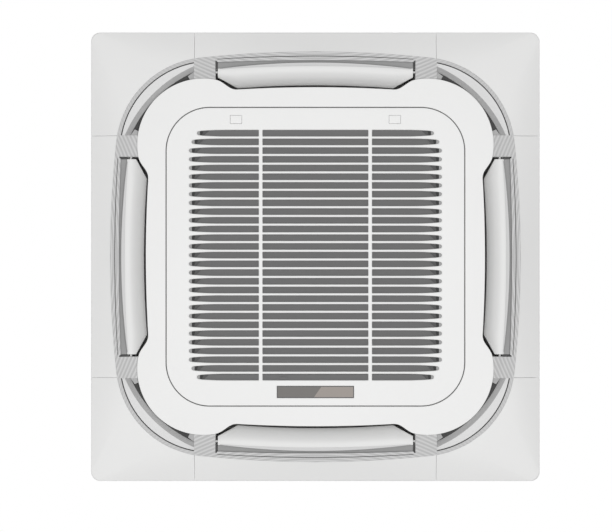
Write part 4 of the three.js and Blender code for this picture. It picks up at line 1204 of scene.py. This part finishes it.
def seam_floor():
    """A narrow ledge of painted shade on the hub plate's inner skirt, behind the grille's edge."""
    outlines = []
    for reach in (GRILLE_SEAM + HUB_WALL / 2, 0.3 * MM):
        half = GRILLE_HALF + reach
        outlines.append(rounded_rectangle((0, 0), (half, half), GRILLE_CORNER + reach, 24))
    return slab(outlines, *SEAM_FLOOR_Z)


piece("hub_face", hub_plate(), "panel_white", replaces=["hub_plate"])
piece("seam_floor", seam_floor(), "panel_white", finish="seam_painted_shade")

# ---- vanes ------------------------------------------------------------------------------------


def vane_bow(y):
    """The slow bow of a vane's inner edge, which its bend follows."""
    share = min(abs(y) / VANE_BOW_END.y, 1.0)
    return VANE_INNER_MID - (VANE_INNER_MID - VANE_BOW_END.x) * share**2


def vane_height(x, y):
    """The underside of a vane: flat outside and bent up towards its inner edge."""
    inward = min(max(vane_bow(y) + VANE_BEND_WIDTH - x, 0.0), VANE_BEND_WIDTH)
    return VANE_Z + VANE_BEND - math.sqrt(VANE_BEND**2 - inward**2)


def vane_inner(y):
    if abs(y) <= VANE_BOW_END.y:
        return vane_bow(y)
    run = (abs(y) - VANE_BOW_END.y) / (VANE_HALF_LENGTH - VANE_BOW_END.y)
    return VANE_BOW_END.x + (VANE_INNER_END - VANE_BOW_END.x) * run


def vane_edges(y):
    """The outer edge of a vane's blade and of the thin lip beyond it."""
    share = (y / VANE_HALF_LENGTH) ** 2
    outer = VANE_OUTER_MID - (VANE_OUTER_MID - VANE_OUTER_END) * share
    return outer, outer + VANE_LIP - (VANE_LIP - 1 * MM) * share


def vane_section(y):
    """Once round the blade: its underside from the inner edge out, and its top back."""
    inner, outer = vane_inner(y), vane_edges(y)[0]
    edge = vane_height(inner, y)
    points = [(inner, edge + VANE_TIP / 2), (inner + 0.3 * MM, edge + 0.4 * MM)]
    for i in range(1, 13):
        x = inner + (outer - VANE_EDGE - inner) * i / 12
        points.append((x, vane_height(x, y)))
    points += [(outer - 0.25 * MM, VANE_Z + 0.25 * MM), (outer, VANE_Z + VANE_EDGE)]
    for i in range(12, -1, -1):
        x = inner + (outer - inner) * i / 12
        points.append((x, vane_height(x, y) + VANE_TIP + (VANE_THICKNESS - VANE_TIP) * i / 12))
    return [Vector((x, y, z)) for x, z in points]


def lip_section(y):
    """Once round the thin lip along a blade's outer edge."""
    outer, lip = vane_edges(y)
    top = VANE_Z + VANE_THICKNESS - 0.05 * MM
    low = VANE_Z + VANE_THICKNESS / 2
    points = [(outer - 1 * MM, low), (lip - 0.5 * MM, low), (lip, low + 0.5 * MM), (lip, top),
              (outer - 1 * MM, top)]
    return [Vector((x, y, z)) for x, z in points]


def along_vane(section):
    """A closed bar along the vane with a given section."""
    sections = [section(VANE_HALF_LENGTH * (2 * i / VANE_STATIONS - 1)) for i in range(VANE_STATIONS + 1)]
    points = len(sections[0])
    bar = healed(warped(VANE_STATIONS, points, lambda i, j: sections[i][j % points]))
    bmesh.ops.holes_fill(bar, edges=[e for e in bar.edges if e.is_boundary], sides=0)
    return bar


def vane_arm(way):
    """The plate at one end of a vane that carries its pivot pin."""
    x, z = VANE_PIVOT
    outline = [Vector((x + VANE_ARM_HALF_WIDTH, VANE_Z + 1.5 * MM)),
               *arc((x, z), VANE_ARM_HALF_WIDTH, 0, math.pi, 12),
               Vector((x - VANE_ARM_HALF_WIDTH, VANE_Z + 1.5 * MM))]
    bm = slab([outline], 0, VANE_ARM)
    bmesh.ops.rotate(bm, verts=bm.verts, cent=(0, 0, 0), matrix=Matrix.Rotation(QUARTER, 3, "X"))
    far = VANE_HALF_LENGTH if way > 0 else -VANE_HALF_LENGTH + VANE_ARM
    bmesh.ops.translate(bm, verts=bm.verts, vec=(0, far, 0))
    pin_end = VANE_PIN_ENDS[1 if way > 0 else 0]
    pin = rod((x, way * (VANE_HALF_LENGTH - 1 * MM), z), (x, pin_end, z), VANE_PIN, 20, SMALL_EASE)
    return merged([bm, pin])


for side in SIDES:
    node = f"vane_{side + 1}"
    blade = merged([along_vane(vane_section), vane_arm(1), vane_arm(-1)])
    piece(f"vane_blade_{side + 1}", on_side(blade, side), "panel_white", node, [node], finish="vane_white_painted_shade")
    # The lip is the same white plastic as the blade; its darker grey is painted shade.
    piece(f"vane_lip_{side + 1}", on_side(along_vane(lip_section), side), "panel_white", node,
          finish="lip_painted_shade")

# ---- intake grille ----------------------------------------------------------------------------


def slot_y(row):
    return SLOT_CENTRE_Y + SLOT_PITCH * (row - (SLOT_ROWS - 1) / 2)


def slot_reach(row):
    return SLOT_HALF_LENGTHS[min(row, SLOT_ROWS - 1 - row, 2)]


def slot_outline(row, part, grow):
    """Round one slot: part -1 and 1 are the outer runs, which taper to a tip, and 0 is the middle."""
    y = slot_y(row)
    half = SLOT_HALF_HEIGHT + grow
    ease = SLOT_EASE + grow
    if part == 0:
        return rounded_rectangle((0, y), (BAR_AT - BAR_HALF + grow, half), ease, 3)
    inner = BAR_AT + BAR_HALF - grow
    reach = slot_reach(row)
    upper = arc((inner + ease, half - ease), ease, 2 * QUARTER, QUARTER, 3)
    for i in range(6):
        share = 1 - i / 6
        tip = SLOT_TIP + grow
        upper.append(Vector((reach - SLOT_TAPER * share, tip + (half - tip) * (1 - (1 - share) ** 2))))
    upper += arc((reach - SLOT_TIP, 0), SLOT_TIP + grow, QUARTER, 0, 5)
    lower = [Vector((p.x, -p.y)) for p in reversed(upper[:-1])]
    return [Vector((part * p.x, y + p.y)) for p in upper + lower]


def rounded_wall(outline, sign, radius):
    """Loops from a rounded front edge to the grille's back: outline(grow) gives the points of one."""
    loops = []
    for i in range(ROUND_STEPS + 1):
        angle = QUARTER * i / ROUND_STEPS
        grow = sign * radius * (1 - math.sin(angle))
        z = FACE_Z + radius * (1 - math.cos(angle))
        loops.append([Vector((p.x, p.y, z)) for p in outline(grow)])
    loops.append([Vector((p.x, p.y, GRILLE_BACK_Z)) for p in outline(0.0)])
    return loops


def grille_edge(grow):
    half = GRILLE_HALF + grow
    return rounded_rectangle((0, 0), (half, half), GRILLE_CORNER + grow, 24)


def hatch(centre, size):
    """The outline of an opening for a button or the display window."""
    half = size / 2 + Vector((PLAY, PLAY))
    return lambda grow: rounded_rectangle(centre, (half.x + grow, half.y + grow), 1 * MM + grow, 3)


def slot_at(row, part):
    return lambda grow: slot_outline(row, part, grow)


def grille_face():
    """The plate of the grille, with its slots and the openings for both buttons and the display."""
    walls = [rounded_wall(grille_edge, -1, GRILLE_EDGE)]
    walls += [rounded_wall(slot_at(row, part), 1, SLAT_ROUND)
              for row in range(SLOT_ROWS) for part in (-1, 0, 1)]
    hatches = [hatch(Vector((x, BUTTON_Y)), BUTTON_SIZE) for x in (-BUTTON_X, BUTTON_X)]
    hatches.append(hatch(Vector((0, DISPLAY_Y)), DISPLAY_SIZE))
    walls += [rounded_wall(outline, 1, GRILLE_EDGE) for outline in hatches]
    front = outlined([wall[0] for wall in walls], FACE_Z)
    back = outlined([wall[-1] for wall in walls], GRILLE_BACK_Z)
    return healed(merged([front, back] + [sleeve(wall) for wall in walls]))


def hinge_hook(x):
    """A curved finger about the hinge line, over the hub plate's inner skirt."""
    start, end = HOOK_ANGLES
    section = arc((0, 0), HOOK_RADIUS, start, end, 12)
    section += arc((0, 0), HOOK_RADIUS + HOOK_THICKNESS, end, start, 12)
    bm = slab([section], -HOOK_WIDTH / 2, HOOK_WIDTH / 2)
    eased(bm, sharp_edges(bm, 60), SMALL_EASE)
    to_hinge = Matrix(((0, 0, 1, x), (1, 0, 0, HINGE_Y), (0, 1, 0, FACE_Z), (0, 0, 0, 1)))
    bmesh.ops.transform(bm, matrix=to_hinge, verts=bm.verts)
    return bm


def slot_plates(outline, low):
    """The same small plate of painted shade behind both ends of every slot, with its outline measured from
    the tip.
    """
    plates = []
    for row in range(SLOT_ROWS):
        for way in (-1, 1):
            points = [Vector((way * (slot_reach(row) + x), slot_y(row) + y)) for x, y in outline]
            plates.append(slab([points], low, GRILLE_BACK_Z + 0.1 * MM))
    return merged(plates)


def end_plate(start, end, slant):
    """The outline of a plate a little higher than a slot, slanted further in along its upper edge."""
    half = SLOT_HALF_HEIGHT + SLOT_EASE
    return [(start, -half), (start, half), (end, half), (end - slant, -half)]


grille = merged([grille_face(), hinge_hook(-HOOK_X), hinge_hook(HOOK_X)])
for name, (finish, start, end, slant, height) in SLOT_PLATES.items():
    plates = slot_plates(end_plate(start, end, slant), GRILLE_BACK_Z - height)
    piece(name, plates, "panel_white", "grille", finish=finish)
piece("slotted_grille", grille, "panel_white", "grille", ["intake_grille"])


def latch_button(x):
    """A cap in the grille's face on a wider flange, with a post up to the latch."""
    flange_x, flange_y = BUTTON_FLANGE_HALF
    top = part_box("latch_button_1")[1][2]
    cap = eased_block((x - BUTTON_SIZE.x / 2, x + BUTTON_SIZE.x / 2),
                      (BUTTON_Y - BUTTON_SIZE.y / 2, BUTTON_Y + BUTTON_SIZE.y / 2),
                      (FACE_Z, GRILLE_BACK_Z + BUTTON_CAP_HEIGHT), 0.7 * MM, 3)
    flange = eased_block((x - flange_x, x + flange_x), (BUTTON_Y - flange_y, BUTTON_Y + flange_y),
                         (GRILLE_BACK_Z + PLAY, GRILLE_BACK_Z + BUTTON_FLANGE_HEIGHT), 0.3 * MM)
    post = rod((x, BUTTON_Y, GRILLE_BACK_Z + 1 * MM), (x, BUTTON_Y, top), BUTTON_POST, 20, SMALL_EASE)
    return merged([cap, flange, post])


for number, x in ((1, -BUTTON_X), (2, BUTTON_X)):
    node = f"latch_button_{number}"
    piece(f"latch_cap_{number}", latch_button(x), "panel_white", f"latch_{number}", [node])

refined("display_window", "display_grey", 0.5 * MM, body="grille", segments=3)
refined("filter_frame", "filter_grey", 0.6 * MM, body="grille")

# ---- unit body --------------------------------------------------------------------------------


def press(bm, faces, margin, depth):
    """Presses the middle of each face in, or out where the depth is negative."""
    bmesh.ops.inset_individual(bm, faces=faces, thickness=margin, use_even_offset=True)
    bmesh.ops.inset_individual(bm, faces=faces, thickness=PRESS_SLOPE, depth=-depth, use_even_offset=True)


def is_field(face):
    """A whole outer wall or the top; the pipe wall, with its opening, stays plain."""
    centre = face.calc_center_median()
    outer = centre.z > BODY_Z[1] - 0.1 * MM or centre.xy.dot(face.normal.xy) > BODY_HALF - 1 * MM
    return outer and face.calc_area() > FIELD_AREA and centre.x < BODY_HALF - 1 * MM


def cabinet():
    """The folded sheet steel body with a pressed field in three walls and a stepped one in the top."""
    bm = frame_copy("cabinet_shell")
    press(bm, [f for f in bm.faces if is_field(f)], FIELD_MARGIN, PRESS_DEPTH)
    top = [f for f in bm.faces if f.normal.z > 0.99 and f.calc_area() > TOP_AREA]
    press(bm, top, 3 * FIELD_MARGIN, -PRESS_DEPTH)
    outer = [e for e in sharp_edges(bm) if any(v.co.z > BODY_Z[1] - 1 * MM for v in e.verts)]
    eased(bm, outer, BODY_EASE)
    return bm


def wall_beads():
    """The stiffening beads that stand out along the walls, shorter beside the pipe opening."""
    beads = []
    for side in SIDES:
        reach = BEAD_REACH if side else BEAD_REACH_AT_PIPES
        for z in BEAD_HEIGHTS:
            start, stop = ((BODY_HALF - BEAD_SUNK, y, z) for y in (-BEAD_REACH, reach))
            beads.append(on_side(rod(start, stop, BEAD_RADIUS, 16, 1.5 * MM), side))
    return merged(beads)


def screw_head(place):
    """A low round head on the +X wall, with a crossed driver slot."""
    place = Vector(place)
    start, end = place - Vector((SCREW_SUNK, 0, 0)), place + Vector((SCREW_HEIGHT, 0, 0))
    head = rod(start, end, SCREW_HEAD, 16, SCREW_HEIGHT / 2)
    slots = [eased_block((place.x + 1.5 * MM, place.x + 1.9 * MM), (place.y - a, place.y + a),
                         (place.z - b, place.z + b), 0.1 * MM, 1)
             for a, b in (SCREW_SLOT, reversed(SCREW_SLOT))]
    return merged([head] + slots)


def cabinet_screws():
    """A row of screws near the foot and one near the top of each wall, clear of the pipe opening."""
    heads = []
    for side in SIDES:
        rows = [(LOW_SCREWS, BODY_Z[0] + SCREW_INSET),
                (HIGH_SCREWS if side else HIGH_SCREWS_AT_PIPES, BODY_Z[1] - SCREW_INSET)]
        heads += [on_side(screw_head((BODY_HALF, y * MM, z)), side) for row, z in rows for y in row]
    return merged(heads)


piece("cabinet_shell_finished", cabinet(), "sheet_steel", replaces=["cabinet_shell"], smooth=12)
piece("cabinet_beads", wall_beads(), "sheet_steel")
piece("cabinet_screws", cabinet_screws(), "plated_steel")
for node, finish in (("gas_pipe", "copper"), ("liquid_pipe", "copper"), ("drain_hose", "hose_white"),
                     ("drain_pan", "white_foam"), ("cabinet_insulation", "white_foam"),
                     ("panel_seal", "seal_foam")):
    piece(node + "_finished", frame_copy(node), finish, replaces=[node])

for number in (1, 2, 3, 4):
    refined(f"hanger_bracket_{number}", "sheet_steel", 0.5 * MM)
    refined(f"panel_screw_{number}", "plated_steel", 0.5 * MM)
    refined(f"vane_motor_{number}", "motor_grey", 0.5 * MM)
for node in ("control_box", "control_box_cover", "motor_bracket", "pipe_cover_plate"):
    refined(node, "sheet_steel", 0.4 * MM)
refined("bell_mouth", "fan_grey", 0.4 * MM)
refined("turbo_fan", "fan_grey", 0.6 * MM, body="fan")
refined("fan_nut", "plated_steel", 0.5 * MM, body="fan")
refined("fan_motor", "motor_grey", 1.5 * MM, segments=3)
refined("drain_pump", "motor_grey", 0.8 * MM)
for node in ("float_switch", "drain_port"):
    refined(node, "hose_white", 0.5 * MM)
for node in ("gas_flare_nut", "liquid_flare_nut"):
    refined(node, "brass", 0.7 * MM)
